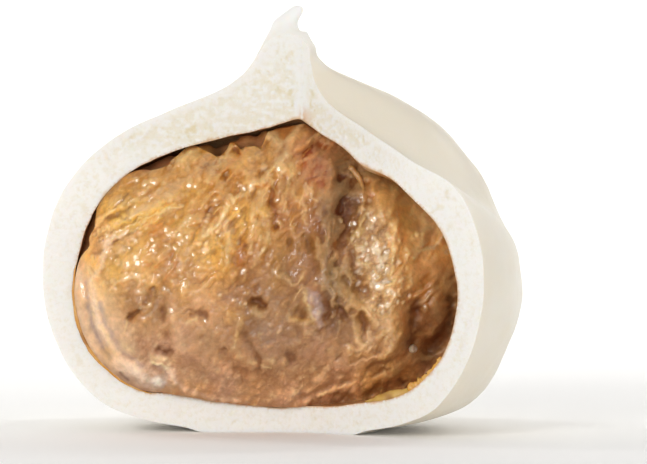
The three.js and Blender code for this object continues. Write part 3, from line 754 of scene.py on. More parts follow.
# strokes of the modelling tool: tint, its strength, width, rise towards the eye, and the line it follows;
# where a stroke presses in, its darker tint is partly painted shade
strokes = [
    ("golden", 0.5, 1.4, 0.3, [(-21, 42.5), (-17.5, 44.3)]),
    ("cream", 0.9, 1.15, 2.2, [(-16.7, 45.6), (-15, 47)]),
    ("golden", 0.5, 0.45, 0.45, [(-28.5, 35), (-24, 36.6), (-19, 39.2), (-14.5, 40.3), (-12.5, 41)]),
    ("golden", 0.5, 0.35, 0.35, [(-27.5, 33.7), (-25, 35), (-21.5, 35.8)]),
    ("olive", 0.5, 0.3, -0.3, [(-26.5, 36), (-23, 36.4), (-20, 37.2)]),
    ("brown", 0.5, 0.35, -0.4, [(-25.5, 37), (-24.9, 38.3), (-24.2, 38.6)]),
    ("cream", 0.5, 0.3, 0.35, [(-25.4, 38), (-24.6, 39), (-23.6, 39.4), (-22, 41)]),
    ("pink", 0.5, 0.6, 0.2, [(-24, 36.8), (-22.5, 37.5), (-21.5, 38.2)]),
    ("cream", 0.6, 0.28, 0.45, [(-30, 33.9), (-29.6, 34.5), (-28.9, 34.2), (-28.6, 33.7), (-29.1, 33.3)]),
    ("lip", 0.95, 0.42, 0.6, [(-25.5, 33.8), (-27.5, 33), (-28.8, 31.8), (-29.4, 30), (-29.8, 28.3),
                              (-31, 26.3)]),
    ("yellow", 0.6, 1.2, 0.8, [(-32.4, 29.6), (-31.2, 28.6)]),
    ("yellow", 0.5, 1.5, 0.5, [(-28.1, 28), (-27, 26.3)]),
    ("rust", 0.45, 1.3, -0.3, [(-18.6, 36.4), (-16.3, 38.3), (-12.2, 37)]),
    ("orange", 0.5, 1.1, -0.2, [(-20.2, 34.4), (-18.8, 33)]),
    ("golden", 0.4, 0.3, 0.35, [(-20.8, 28.5), (-19.5, 30.5), (-17.5, 33)]),
    ("cream", 0.4, 0.3, 0.35, [(-18.6, 27), (-17.6, 29), (-16.6, 32)]),
    ("lip", 0.95, 1.1, 0.5, [(-33.8, 27), (-33.6, 22), (-33, 18.7), (-30.4, 13.9), (-26.8, 10.6),
                             (-21, 8.2)]),
    ("lavender", 0.95, 0.55, -0.55, [(-32.5, 25.4), (-32.1, 21.5), (-31.5, 18), (-29.8, 14.3),
                                     (-28.4, 12.9)]),
    ("lip", 0.9, 0.6, 0.4, [(-31.6, 25.5), (-31, 22), (-30.2, 18.7), (-28.6, 15.3), (-26.4, 12.6),
                            (-23, 10.4)]),
    ("lavender", 0.8, 0.45, -0.4, [(-30.2, 22), (-29.4, 18.8), (-27.6, 15.6), (-25.6, 13.2), (-23, 11.4)]),
    ("cream", 0.5, 0.4, 0.45, [(-29.8, 18), (-29, 16.5), (-28.6, 15.2)]),
    ("yellow", 0.45, 1.0, 0.3, [(-29.2, 14), (-28, 13.2)]),
    ("peach", 0.5, 1.4, 0.5, [(-26.5, 13), (-24, 11.4), (-21.5, 10)]),
    ("cream", 0.45, 0.8, 0.3, [(-26.2, 15), (-24.9, 14)]),
    ("lip", 0.8, 0.7, 0.5, [(-27.5, 12.4), (-26, 11.4), (-24, 10), (-22, 9), (-20, 8.7)]),
    ("pitShade", 0.95, 0.35, -0.7, [(-27, 10), (-26.4, 9.6), (-25.8, 9.1)]),
    ("pink", 0.3, 1.1, -0.1, [(-22.5, 10.4), (-20.5, 9.8)]),
    ("grey", 0.8, 0.5, -0.7, [(-20.8, 11.5), (-19.2, 10.9), (-18.8, 9.8)]),
    ("cream", 0.7, 0.3, 0.5, [(-21.3, 12.1), (-20, 11.8), (-18.9, 10.9)]),
    ("peach", 0.75, 0.5, 0.5, [(-18.2, 10.4), (-17.6, 9), (-16.8, 7.9), (-15, 6.9), (-12, 6.1), (-7, 5.4)]),
    ("cream", 0.5, 0.6, 0.3, [(-20.7, 13.1), (-19.2, 12.5)]),
    ("pitShade", 0.7, 0.36, -1.3, [(-25.1, 19.7), (-24.3, 20.5), (-23.4, 21.1)]),
    ("amber", 0.4, 0.9, -0.2, [(-23.8, 19.4), (-22.8, 19.8)]),
    ("cream", 0.6, 0.2, 0.3, [(-25.3, 19.4), (-25.5, 18.3), (-26, 17.2)]),
    ("pitShade", 0.8, 0.4, -1.5, [(-20.1, 14.6), (-19.5, 14), (-18.2, 14.3)]),
    ("pitShade", 0.7, 0.3, -0.9, [(-20.95, 24.7), (-20.8, 24.4)]),
    ("rust", 0.55, 0.5, -0.6, [(-21.3, 24.2), (-21.8, 22.8), (-22.3, 21.9)]),
    ("brown", 0.5, 0.25, -0.5, [(-20.7, 24.1), (-20.4, 23.1)]),
    ("brown", 0.7, 0.45, -0.8, [(-19.6, 21.1), (-19.2, 19.7)]),
    ("brown", 0.6, 0.4, -0.5, [(-18.8, 17.3), (-18.7, 16.8)]),
    ("rust", 0.45, 1.0, -0.3, [(-20.3, 27), (-19, 25.6)]),
    ("peach", 0.45, 0.9, 0.45, [(-18, 22.7), (-17.8, 20.5), (-17.2, 19), (-16.9, 17), (-16.6, 15)]),
    ("golden", 0.45, 1.6, 0.2, [(-17.6, 25.3), (-15.8, 25)]),
    ("peach", 0.5, 1.5, 0.3, [(-14.6, 23.6), (-13.4, 23.2)]),
    ("pitShade", 0.6, 0.26, -0.6, [(-15.8, 20.4), (-14.8, 20.9), (-13.9, 20.5)]),
    ("brown", 0.7, 0.4, -0.8, [(-14.7, 20.1), (-14.3, 19.9)]),
    ("cream", 0.45, 0.35, 0.4, [(-15.2, 19.2), (-13.7, 19.4)]),
    ("pitShade", 0.7, 0.55, -1.1, [(-13, 20.4), (-12.3, 20.2)]),
    ("brown", 0.5, 0.28, -0.5, [(-14.3, 16.4), (-14.2, 16.2)]),
    ("brown", 0.5, 0.3, -0.4, [(-13.2, 16.7), (-12.8, 16.7)]),
    ("orange", 0.35, 1.25, 0.4, [(-15.2, 8), (-11.6, 7.5)]),
    ("cream", 0.5, 0.55, 0.8, [(-12.3, 42.2), (-11.5, 43.1), (-10.3, 43.2)]),
    ("cream", 0.35, 0.6, 0.8, [(-11, 44.3), (-10.2, 44.9), (-9.6, 45.6), (-9, 47), (-8.4, 47.9)]),
    ("pitShade", 0.5, 0.3, -0.6, [(-9, 42.9), (-8.9, 42.5)]),
    ("golden", 0.8, 1.2, 1.5, [(-8, 44.7), (-6.5, 45.3), (-5.3, 46.5)]),
    ("pitShade", 0.6, 0.4, -1.4, [(-7.7, 47.4), (-6.9, 46.9)]),
    ("cream", 0.55, 0.6, 1.1, [(-9.4, 37.5), (-7.7, 39.4), (-5.5, 40.8), (-4.2, 42), (-2.3, 43.2),
                               (-0.8, 44.6)]),
    ("cream", 0.5, 0.7, 1.0, [(-0.8, 44.6), (0.9, 46.3), (1.3, 47.8), (2.2, 49.3)]),
    ("cream", 0.45, 0.5, 0.8, [(-12.6, 33.3), (-10.3, 35.2), (-9.3, 37.3)]),
    ("brown", 0.4, 0.6, -0.5, [(-13, 34.7), (-11.5, 36.8), (-10.1, 38.7), (-7, 41)]),
    ("cream", 0.4, 0.45, 0.6, [(-8.6, 29.3), (-8.6, 31), (-8.3, 33.3), (-9.2, 35)]),
    ("amber", 0.6, 0.8, -0.5, [(-6.7, 28.6), (-6.5, 31), (-6, 32.3)]),
    ("pitShade", 0.5, 0.4, -0.6, [(-5.6, 31.8), (-5.4, 31.5)]),
    ("cream", 0.55, 0.45, 0.8, [(-4.9, 31.3), (-4.6, 33.2), (-4.1, 35.7)]),
    ("golden", 0.6, 1.0, 0.7, [(-3.5, 34.3), (-3.2, 32.6)]),
    ("yellow", 0.75, 0.8, 0.6, [(-3, 37.4), (-2.5, 37)]),
    ("tan", 0.6, 1.0, 0.4, [(-5, 39.2), (-4, 38.9)]),
    ("orange", 0.6, 0.6, 0.3, [(-3.8, 41.6), (-2, 41.6)]),
    ("cream", 0.5, 0.3, 0.4, [(-2.3, 41.2), (-2.6, 39.8), (-3.2, 38.4)]),
    ("rust", 0.75, 0.6, -1.3, [(-1.2, 41.2), (-1.5, 39.5), (-1.3, 38), (-0.9, 36.8), (-0.8, 35)]),
    ("pitShade", 0.7, 0.28, -0.9, [(-0.9, 35.3), (-0.6, 34.7)]),
    ("cream", 0.45, 0.45, 0.7, [(2.3, 40.3), (3.3, 39), (3.9, 37.5), (4, 35.5)]),
    ("golden", 0.4, 0.4, 0.5, [(2, 36.3), (1.8, 35), (2.2, 34)]),
    ("peach", 0.7, 0.2, 0.5, [(4.3, 41.8), (4.9, 40.5), (5.8, 38.8)]),
    ("tan", 0.4, 0.35, 0.6, [(0.4, 41), (0.8, 39), (0.6, 37.6)]),
    ("golden", 0.75, 1.05, 0.9, [(1.5, 44.5), (1.9, 44)]),
    ("peach", 0.5, 0.2, 0.35, [(2.8, 45.4), (3, 44.2), (2.5, 43)]),
    ("rust", 0.8, 1.2, -0.5, [(3.6, 46), (5, 47), (6.6, 47.8)]),
    ("orange", 0.7, 0.6, 0.7, [(2.9, 47.4), (3.7, 48.1)]),
    ("orange", 0.5, 0.5, 0.6, [(1.2, 48.8), (2.4, 49.9)]),
    ("golden", 0.5, 0.7, 0.6, [(3.2, 50), (4.4, 50.2)]),
    ("cream", 0.8, 0.8, 2.0, [(-1.9, 49.9), (-0.6, 48.9)]),
    ("pink", 0.5, 0.9, -0.3, [(4.3, 43.4), (6.8, 42.8)]),
    ("cream", 0.35, 0.4, 0.7, [(8.4, 45.5), (9.1, 44), (8.5, 42.5), (8.3, 41)]),
    ("umber", 0.5, 0.8, -0.6, [(9.8, 46), (9.8, 43), (10.1, 40), (10, 37.5)]),
    ("olive", 0.6, 0.35, -0.7, [(1.6, 32.4), (1.6, 31.7)]),
    ("olive", 0.6, 0.6, -0.8, [(4.4, 33), (5.1, 31)]),
    ("peach", 0.5, 0.35, 0.6, [(6.1, 33), (6.3, 31.5), (6.8, 30.2), (7.1, 28.7)]),
    ("pitShade", 0.9, 0.55, -2.0, [(-4.2, 22.5), (-3.5, 22.7), (-2.7, 21.9)]),
    ("shade", 0.45, 0.45, -0.4, [(-4, 25.1), (-3.9, 23.8)]),
    ("brown", 0.35, 0.6, -0.4, [(-5.6, 23), (-5, 22)]),
    ("grey", 0.5, 1.0, -0.2, [(-9.3, 23.2), (-8.3, 23.2)]),
    ("golden", 0.45, 1.1, 0.2, [(-8.2, 20.5), (-6.6, 19.7)]),
    ("cream", 0.4, 0.5, 0.45, [(-6.6, 19), (-7, 17.3), (-7.6, 15)]),
    ("grey", 0.75, 2.3, 0.1, [(-3.3, 17), (-1.2, 15.8)]),
    ("brown", 0.7, 0.36, -0.8, [(-4, 14.1), (-3.5, 12.8), (-3.2, 11.8), (-3.4, 11)]),
    ("brown", 0.35, 0.5, -0.4, [(-5.9, 17.5), (-5.3, 16), (-4.6, 14.8)]),
    ("shade", 0.55, 0.85, -0.7, [(1.2, 13.4), (1.8, 12.8)]),
    ("cream", 0.5, 0.32, 0.5, [(-3, 11.8), (-1.6, 11.4)]),
    ("cream", 0.4, 0.4, 0.4, [(-1.4, 12.7), (-1.2, 12.3)]),
    ("cream", 0.35, 0.5, 0.4, [(-4.8, 12.3), (-4.4, 12.1)]),
    ("pitShade", 0.6, 0.38, -0.9, [(-9.4, 14.4), (-9.1, 14.2)]),
    ("brown", 0.45, 0.7, -0.5, [(-7.2, 11.1), (-5.9, 10.7)]),
    ("brown", 0.45, 0.35, -0.5, [(-6.5, 9.9), (-6.3, 9.2)]),
    ("brown", 0.6, 0.3, -0.5, [(-4.3, 6.2), (-3.9, 6)]),
    ("brown", 0.5, 0.25, -0.4, [(-2.7, 9.9), (-2.4, 9.9)]),
    ("cream", 0.35, 0.35, 0.4, [(-2.6, 5.4), (-2, 5.6)]),
    ("cream", 0.4, 0.4, 0.4, [(-1.4, 6.5), (-1.1, 6.3)]),
    ("cream", 0.7, 0.35, 0.5, [(3.9, 23.8), (4.4, 22.4), (4.9, 21), (5.6, 19.4)]),
    ("cream", 0.4, 0.35, 0.6, [(2.2, 22.8), (2.9, 24.1), (3.8, 24.8)]),
    ("cream", 0.35, 0.35, 0.6, [(0.7, 26.8), (2, 25.3), (3, 25.5), (4, 27)]),
    ("olive", 0.6, 1.2, -0.6, [(2.9, 20.9), (4, 20.4)]),
    ("golden", 0.4, 0.5, 0.5, [(2, 19.6), (3.5, 19.3), (5.2, 19.2)]),
    ("peach", 0.4, 0.7, 0.5, [(4.1, 18.2), (4.4, 17.5)]),
    ("brown", 0.6, 0.4, -0.6, [(6.4, 17.8), (7.5, 17.9), (7.9, 20.3), (7.8, 22)]),
    ("peach", 0.5, 0.3, 0.6, [(8.2, 25), (8.9, 23.6), (8.5, 22.5)]),
    ("lilac", 0.6, 0.32, 0.5, [(8.2, 34), (7.9, 31), (7.4, 28.5), (7, 26)]),
    ("brown", 0.6, 1.0, 0.3, [(12.4, 41.4), (12.8, 40.6)]),
    ("rust", 0.7, 0.55, -0.7, [(14.7, 42), (14.9, 40), (14.6, 38.6)]),
    ("shade", 0.5, 1.0, -0.5, [(12.2, 39), (13.4, 37)]),
    ("tan", 0.55, 1.4, 1.2, [(16, 41), (17, 40), (17.5, 38.5), (17.6, 36.8)]),
    ("cream", 0.75, 0.42, 1.0, [(14, 36.2), (13.3, 35), (13.5, 33.9), (13.1, 33)]),
    ("cream", 0.7, 0.5, 0.9, [(12.2, 33.6), (11.7, 32.6)]),
    ("cream", 0.55, 0.35, 0.7, [(14.4, 34.4), (15, 35.6)]),
    ("cream", 0.4, 0.6, 0.6, [(12.4, 31.8), (12.8, 31.2)]),
    ("amber", 0.7, 0.6, -0.6, [(19.5, 37.4), (19.6, 36.7)]),
    ("amber", 0.6, 0.6, -0.5, [(18.2, 34.4), (18.5, 33.8)]),
    ("orange", 0.6, 1.4, 0.5, [(18.9, 36), (19.4, 33), (19.7, 30.5), (19.5, 28), (19.4, 25),
                               (19.2, 21.5), (19, 18.5)]),
    ("cream", 0.65, 0.4, 0.4, [(18.4, 35), (18.6, 32.6), (18.4, 30), (18.6, 27.6), (18.2, 25),
                               (17.6, 22.6)]),
    ("amber", 0.6, 0.6, -0.4, [(20.8, 33.3), (20.4, 31), (20.3, 29), (20.9, 27)]),
    ("cream", 0.4, 0.5, 0.6, [(21.7, 30), (23, 31), (24.2, 32)]),
    ("tan", 0.5, 0.5, 0.5, [(22.3, 33), (24, 33.8), (25.4, 34.2)]),
    ("rust", 0.6, 0.35, -0.6, [(23.3, 31), (25.3, 31.8), (26.7, 31.2)]),
    ("amber", 0.45, 1.3, 0.2, [(25.5, 30), (26.6, 28.7)]),
    ("cream", 0.55, 0.3, 0.6, [(12.7, 29.9), (13.2, 28.9), (14.5, 28.6)]),
    ("cream", 0.45, 0.3, 0.6, [(10.8, 27.2), (12, 26.3), (12.8, 25.8)]),
    ("olive", 0.6, 1.5, -0.3, [(9.6, 26.2), (10.6, 25.4)]),
    ("pitShade", 0.6, 0.4, -1.0, [(13.6, 20.3), (14, 18.8), (13.7, 17.4)]),
    ("tan", 0.6, 0.35, 0.6, [(11.8, 13.8), (13, 13.3), (14.5, 13.6), (16.5, 13.3), (17.5, 13.2),
                             (18.6, 14.1)]),
    ("tan", 0.6, 2.2, 0.9, [(17.2, 19), (17.8, 17)]),
    ("amber", 0.6, 0.5, 0.5, [(20.3, 20.2), (20.6, 18), (20.4, 16.3), (19.8, 15)]),
    ("pitShade", 0.75, 0.3, -1.3, [(9.9, 21.4), (10.4, 20.4), (10.7, 19.8)]),
    ("brown", 0.6, 0.3, -0.6, [(11.1, 23.4), (11.3, 23)]),
    ("brown", 0.6, 0.4, -0.6, [(13.6, 25.2), (13.6, 24.8)]),
    ("grey", 0.6, 0.8, -0.4, [(14.6, 24), (15.3, 22.6)]),
    ("brown", 0.5, 0.3, -0.5, [(16.6, 22.9), (16.7, 22.4)]),
    ("pitShade", 0.8, 0.6, -0.9, [(22.4, 20.7), (23.1, 20.8)]),
    ("brown", 0.6, 0.8, -0.7, [(21.8, 19.8), (22, 18), (21.6, 16), (21.3, 14.5)]),
    ("tan", 0.7, 0.4, 0.7, [(23.9, 21.2), (24.3, 20.9)]),
    ("brown", 0.5, 1.6, 0.3, [(25, 19.5), (25.2, 17.5)]),
    ("brown", 0.8, 1.0, -0.8, [(28.3, 22.5), (28, 18.5), (27, 16.5), (24.8, 15)]),
    ("brown", 0.5, 0.45, -0.5, [(14.7, 11.4), (16.5, 12), (19, 12.8), (21, 13.3)]),
    ("brown", 0.5, 0.4, -0.7, [(3.5, 6.2), (6.5, 7.6), (10, 8.7), (14, 9.4), (18, 11)]),
    ("peach", 0.3, 0.6, 0.5, [(6, 9.2), (7.6, 9.6)]),
    ("tan", 0.45, 0.5, 0.5, [(6.5, 6.6), (9.5, 7.8), (12, 8.4)]),
    ("olive", 0.6, 0.6, -0.8, [(9.4, 6.3), (11.4, 6.4)]),
    ("olive", 0.6, 0.45, -0.8, [(14.2, 6.3), (16.4, 7.8)]),
    ("tan", 0.3, 1.1, 0.4, [(12.5, 9.9), (13.5, 9.8)]),
    ("brown", 0.5, 1.2, 0.4, [(17.4, 10), (19, 10.3)]),
    ("orange", 0.35, 0.7, 0.3, [(24.3, 12.5), (25.3, 12.6)]),
    ("pitShade", 0.7, 0.5, -0.8, [(20, 8.6), (20.8, 8.3)]),
]
# torn strands that lie on the meat: tint, width, rise and line
strands = [
    ("lilac", 1.05, 0.45, [(5.5, 23.2), (6.1, 21.8), (6.3, 20.6)]),
    ("lilac", 0.6, 0.4, [(6.2, 20.6), (6.3, 19.4), (6.6, 18.6)]),
    ("strand", 0.34, 0.5, [(20, 24.4), (20, 25.6), (20.5, 26.4), (21.4, 26.2), (21.8, 25.2), (21.5, 24.3)]),
    ("strand", 0.7, 0.5, [(9.6, 27.5), (10, 25.2), (11.4, 23.2), (12.6, 22), (14.2, 21), (15.3, 20),
                          (16, 18.6)]),
    ("strand", 0.4, 0.5, [(11.8, 22.9), (13.2, 21.9), (14.6, 20.9), (15.6, 19.6), (16.2, 18.7)]),
    ("strand", 0.3, 0.7, [(13.9, 22.6), (15.1, 21.7), (16.3, 20.4)]),
    ("strand", 0.65, 0.5, [(12.2, 20), (12.4, 18), (12.9, 16.4), (13.4, 15.2), (14.6, 14.6)]),
    ("strand", 0.4, 0.5, [(12.9, 18.6), (13.2, 17), (13.1, 15.8), (13.8, 15), (14.9, 15.9), (14.7, 17)]),
    ("strand", 0.32, 0.6, [(11.2, 15.2), (12.4, 14.4), (14.4, 14.2), (15.2, 14.8)]),
    ("tan", 0.5, 0.8, [(16.4, 13.2), (18, 13.9), (19, 14.9)]),
    ("strand", 0.3, 0.6, [(12.4, 26.4), (13.2, 25.3), (14.3, 25.2)]),
    ("strand", 0.28, 0.6, [(8.4, 24.9), (9, 23.8), (8.7, 22.8), (9.2, 21.8)]),
    ("cream", 0.3, 0.6, [(22, 29.5), (23.2, 30.4), (25, 31)]),
    ("tan", 0.55, 0.7, [(21.6, 33.6), (23.4, 34), (25.4, 33.6)]),
    ("strand", 0.25, 0.6, [(4.2, 42), (4.9, 40.8), (5.6, 39.4), (6.1, 38.6)]),
    ("strand", 0.25, 0.5, [(8.2, 46), (8.8, 44.6), (8.7, 43)]),
    ("golden", 0.35, 0.6, [(-27.5, 34.6), (-24.6, 36.3), (-21, 37.3), (-17.5, 38.4)]),
    ("golden", 0.3, 0.5, [(-26, 32.9), (-23, 34.6), (-19.5, 36)]),
    ("cream", 0.22, 0.5, [(-24.9, 35.2), (-21.4, 36.6), (-18.7, 37.8), (-16.4, 38.2)]),
]
# wet beads that catch the light: place and radius
beads = [
    (-26.3, 30.9, 1.1), (-25.5, 28.5, 0.95), (-24, 28.7, 0.9), (-27, 28.8, 0.7), (-25.8, 26.4, 0.8),
    (-23.8, 26.6, 0.8), (-23.5, 24, 0.55), (-27.5, 24.4, 0.4), (-16, 25.3, 0.75), (-22.9, 41.5, 0.55),
    (-21.7, 41.9, 0.6), (-24, 42.4, 0.35), (-15.2, 42.4, 0.5), (-15.4, 35.9, 0.9), (-23.4, 33.6, 0.45),
    (-18.3, 33.3, 0.5), (-15.4, 33, 0.5), (-13.6, 31.9, 0.5), (-14.4, 30.2, 0.45), (-12.5, 31, 0.85),
    (-19, 31.6, 0.4), (-22.2, 34.6, 0.4), (-2.8, 44.5, 0.7), (0.2, 44.4, 0.8), (1, 46.4, 0.4),
    (-4.9, 41.1, 0.45), (-3.5, 40.1, 0.45), (-7.9, 38.6, 0.4), (-7.4, 37.8, 0.45), (-6.9, 36.6, 0.5),
    (-4.3, 35.8, 0.4), (-10, 31.7, 0.4), (-9.6, 30.2, 0.4), (15.7, 36.1, 0.5), (22.6, 33.3, 0.45),
    (17.1, 29.8, 0.4), (13, 27, 0.45), (16.1, 25, 0.6), (17.7, 22, 0.5), (14.2, 31.9, 0.35),
    (16.7, 31, 0.35), (15.7, 32.7, 0.4), (17.8, 27.4, 0.45), (15.6, 26.6, 0.45), (-33.1, 24.4, 0.4),
    (15.7, 36.1, 0.55), (18.2, 32.6, 0.45), (16.1, 30.6, 0.5), (17.1, 29.4, 0.5), (12.6, 28.7, 0.5),
    (13, 27.4, 0.4), (16.1, 28, 0.45), (16.3, 24.7, 0.6), (18, 21.9, 0.45), (14.5, 30.8, 0.4),
    (18.7, 31, 0.35), (13.6, 29.8, 0.4), (-22.6, 41.7, 0.7), (-21.2, 42, 0.75), (-24.2, 42.4, 0.5),
    (-15.2, 41.6, 0.6), (-12.5, 19.3, 0.35), (-31.7, 27.4, 0.35), (-29.2, 25.5, 0.4), (-17.9, 25.8, 0.3),
    (24.1, 21.2, 0.3),
]
# torn ridges (negative rise) and clefts (positive) along the same lines as in the solid: points, width, rise
tears = [
    ([(3.2, 49), (0.7, 44.9), (-1.8, 39.8), (-3.2, 34.8), (-6, 29.7)], 2.6, -1.8),
    ([(8.6, 45), (9, 40.7), (8.2, 36.5), (7.4, 31.4), (6.9, 24.7)], 2, -1.6),
    ([(12, 43), (11.3, 36.5), (10.7, 30.6), (12.6, 24)], 2.2, 2.4),
    ([(19.2, 38), (19.7, 30.6), (19.3, 24), (20.3, 17), (18.3, 14.6)], 2.9, -2.3),
    ([(23.5, 36), (26, 32.5), (28, 32)], 1.6, 1.4),
    ([(21.9, 21.3), (24.2, 17.1), (25, 14.6)], 2.8, 3.2),
    ([(5, 6.2), (10.7, 9.6), (20, 13.4), (26, 15)], 1.4, 1.0),
    ([(9, 5.4), (18, 8), (26, 11.4)], 1.3, 0.7),
    ([(-32, 25), (-31.2, 19.5), (-29, 14), (-25, 10.4), (-17, 8.4)], 1.5, 0.4),
    ([(-30, 35), (-23, 40), (-17, 45)], 1.5, 1.1),
    ([(-27, 31), (-19, 35.5), (-12, 41.5)], 1.6, 1),
    ([(-12, 30), (-8, 36), (-3.5, 43)], 1.6, 1.2),
]
# how far the meat has drawn back from the wall, in millimetres: along the ceiling by x, down each side by z
gaps = {
    "ceilingFrom": (40, 44),
    "sidesFrom": 20,
    "ceiling": [(-30, 0.02), (-25.5, 0.05), (-23, 0.9), (-20.3, 1.9), (-18.5, 1.2), (-16.4, 0.2),
                (-14.6, 0.0), (-13.6, 1.4), (-12, 2.3), (-10, 2.1), (-8.6, 0.9), (-7.2, 2.6),
                (-5.6, 2.0), (-4, 2.9), (-2.4, 0.9), (-1, 0.7), (1, 1.2), (2.6, 1.0), (4.3, 0.5),
                (6, 0.8), (8, 0.4), (9.3, 0.9), (10.4, 1.3), (12, 0.9), (13.6, 1.2), (15.4, 1.5),
                (16.6, 0.7), (18, 0.05)],
    "leftSide": [(26, 0.1), (29, 0.2), (30.3, 0.6), (32, 1.2), (33.4, 1.3), (35, 0.9), (36.4, 0.7),
                 (37.6, 0.1), (39, 0.0)],
    "rightSide": [(13, 0.1), (15, 0.5), (17, 1.2), (19, 1.6), (21, 1.6), (23, 1.1), (25, 0.5), (28, 0.0)],
}


def makeMeatFinish():
    f = Finish("braisedPork")
    tint, wet = f.attribute("tint", "Color"), f.attribute("wet")
    speckle = f.spread(f.noise(1100, 4, 0.6), 0.3, 0.7, 0.88, 1.12)
    blotch = f.spread(f.noise(260, 4, 0.6, distortion=0.8), 0.3, 0.7, 0.88, 1.12)
    base = f.add("ShaderNodeVectorMath", {0: tint}, operation="SCALE")
    f.feed(base.inputs["Scale"], f.maths("MULTIPLY", speckle, blotch))
    f.set(Base_Color=base.outputs[0], Roughness=f.spread(wet, 0.0, 1.0, 0.6, 0.45))
    f.set(Coat_Weight=wet, Coat_Roughness=0.08, Coat_IOR=1.6, IOR=1.42)
    f.set(Subsurface_Weight=0.4, Subsurface_Radius=(1.0, 0.45, 0.2), Subsurface_Scale=0.0018)
    rough, ripple = f.noise(1500, 4, 0.6), f.spread(f.attribute("calm"), 0.0, 1.0, 0.45, 0.06)
    f.set(Normal=f.bump(rough, 0.00014, 0.6), Coat_Normal=f.bump(f.noise(1100, 2, 0.5), 0.00012, ripple))
    return f.material


def turned(x, z, degrees):
    # the same places on turned axes
    turn = math.radians(degrees)
    return x * math.cos(turn) + z * math.sin(turn), -x * math.sin(turn) + z * math.cos(turn)


def meatForm(x, z):
    # the front's large form, close to the solid's: rounded from the hollow's wall, domed and torn
    (cx, cz), (a, b) = meat["centre"], meat["half"]
    off = ((x - cx) / a) ** 2 + ((z - cz) / b) ** 2
    fromWall = distanceToLine(np.abs(x - hollowCentre(z)), z, wallLine)
    setBack = smoothstep(x, *meat["rimAcross"]) * smoothstep(z, *meat["rimUp"])
    rim = lerp(cut["y"], meat["rimDepth"], setBack)
    y = rim - meat["bulge"] * np.sin(math.pi / 2 * np.minimum(1, fromWall / meat["rimWidth"]))
    y = y - meat["dome"] * np.maximum(0, 1 - off) + meat["recess"] * smoothstep(x, *meat["recessSpan"])
    wx = x + 0.9 * softNoise(x / 3.1, z / 3.1, 96) + 0.4 * softNoise(x / 1.2, z / 1.2, 97)
    wz = z + 0.9 * softNoise(x / 3.1, z / 3.1, 98)
    for line, width, rise in tears:
        y = y + meat["tearShare"] * rise * nearLine(wx, wz, line, width)
    return y


def region(name, x, z):
    # 1 in the middle of a region, falling to 0 outside it
    (cx, cz), (a, b), tilt, _ = regions[name]
    u, v = turned(x - cx, z - cz, tilt)
    u, v = u / a, v / b
    return np.exp(-((u * u + v * v) ** 1.4))


def clumps(x, z, size, seed, tilt=0.0, stretch=1.0):
    # lumps packed side by side: how far inside its lump each point is, and each lump's own number
    u, v = turned(x, z, tilt)
    u, v = u / (size * stretch), v / size
    u, v = u + 0.45 * softNoise(u * 1.3, v * 1.3, seed + 3), v + 0.45 * softNoise(u * 1.3, v * 1.3, seed + 4)
    iu, iv = np.floor(u).astype(np.int64), np.floor(v).astype(np.int64)
    first, second, number = np.full(x.shape, 9.0), np.full(x.shape, 9.0), np.zeros(x.shape)
    for i in (-1, 0, 1):
        for k in (-1, 0, 1):
            pu = iu + i + 0.1 + 0.8 * lattice(iu + i, iv + k, seed)
            pv = iv + k + 0.1 + 0.8 * lattice(iu + i, iv + k, seed + 9)
            far = np.hypot(u - pu, v - pv)
            nearer = far < first
            second = np.where(nearer, first, np.minimum(second, far))
            number = np.where(nearer, lattice(iu + i, iv + k, seed + 17), number)
            first = np.where(nearer, far, first)
    return smoothstep(second - first, 0, 0.75), number


def fibres(x, z, tilt, length, width, seed):
    # ridges between -1 and 1 that run one way and waver
    bend = 0.9 * softNoise(x / 6, z / 6, seed + 20) + 0.35 * softNoise(x / 2.2, z / 2.2, seed + 21)
    along, across = turned(x, z, tilt)
    along, across = along / length, (across + bend) / width
    n = 0.6 * softNoise(along, across, seed) + 0.4 * softNoise(along * 1.7, across * 2.1, seed + 1)
    return 1 - 2 * np.abs(n)


def scatterBeads():
    # small extra beads over the wettest parts
    rng = np.random.default_rng(meat["beadSeed"])
    across, up = meat["beadArea"]
    found = []
    while len(found) < meat["smallBeads"]:
        bx, bz = rng.uniform(*across), rng.uniform(*up)
        radius, chance = rng.uniform(*meat["beadSize"]), rng.uniform()
        wetness = sum(region(name, bx, bz) for name in ("bulge", "ridges")) + 0.4 * region("strings", bx, bz)
        wetness += 3 * region("granules", bx, bz)
        if chance < wetness:
            found.append((bx, bz, radius))
    return found


def scatterStrands():
    # short torn fibres that follow the run of the meat in each region
    rng = np.random.default_rng(meat["strandSeed"])
    tones = ("cream", "strand", "peach", "tan", "orange", "brown")
    found = []
    while len(found) < meat["looseFibres"]:
        name = list(looseRuns)[rng.integers(len(looseRuns))]
        (cx, cz), (a, b), _, _ = regions[name]
        px, pz = cx + a * rng.uniform(-0.9, 0.9), cz + b * rng.uniform(-0.9, 0.9)
        turn = math.radians(looseRuns[name] + rng.uniform(-16, 16))
        line = [(px, pz)]
        for _ in range(4):
            turn += rng.uniform(-0.25, 0.25)
            px, pz = px + 1.1 * math.cos(turn), pz + 1.1 * math.sin(turn)
            line.append((px, pz))
        tone = tones[rng.integers(len(tones))]
        width, rise = rng.uniform(0.2, 0.36), rng.uniform(0.28, 0.52)
        found.append((tone, width, -0.8 * rise if tone == "brown" else rise, line))
    return found


def blur(grid, reach):
    # a quick box blur, run twice each way
    for axis in (0, 1, 0, 1):
        padded = np.concatenate([np.repeat(grid.take([0], axis), reach, axis), grid,
                                 np.repeat(grid.take([-1], axis), reach + 1, axis)], axis)
        total = np.cumsum(padded, axis)
        span, n = 2 * reach + 1, grid.shape[axis]
        grid = (total.take(range(span, span + n), axis) - total.take(range(n), axis)) / span
    return grid


def blend(tint, name, share):
    # moves a grid of tints towards a named one, in place
    tint += (rgb(tints[name]) - tint) * np.clip(share, 0, 1)[..., None]


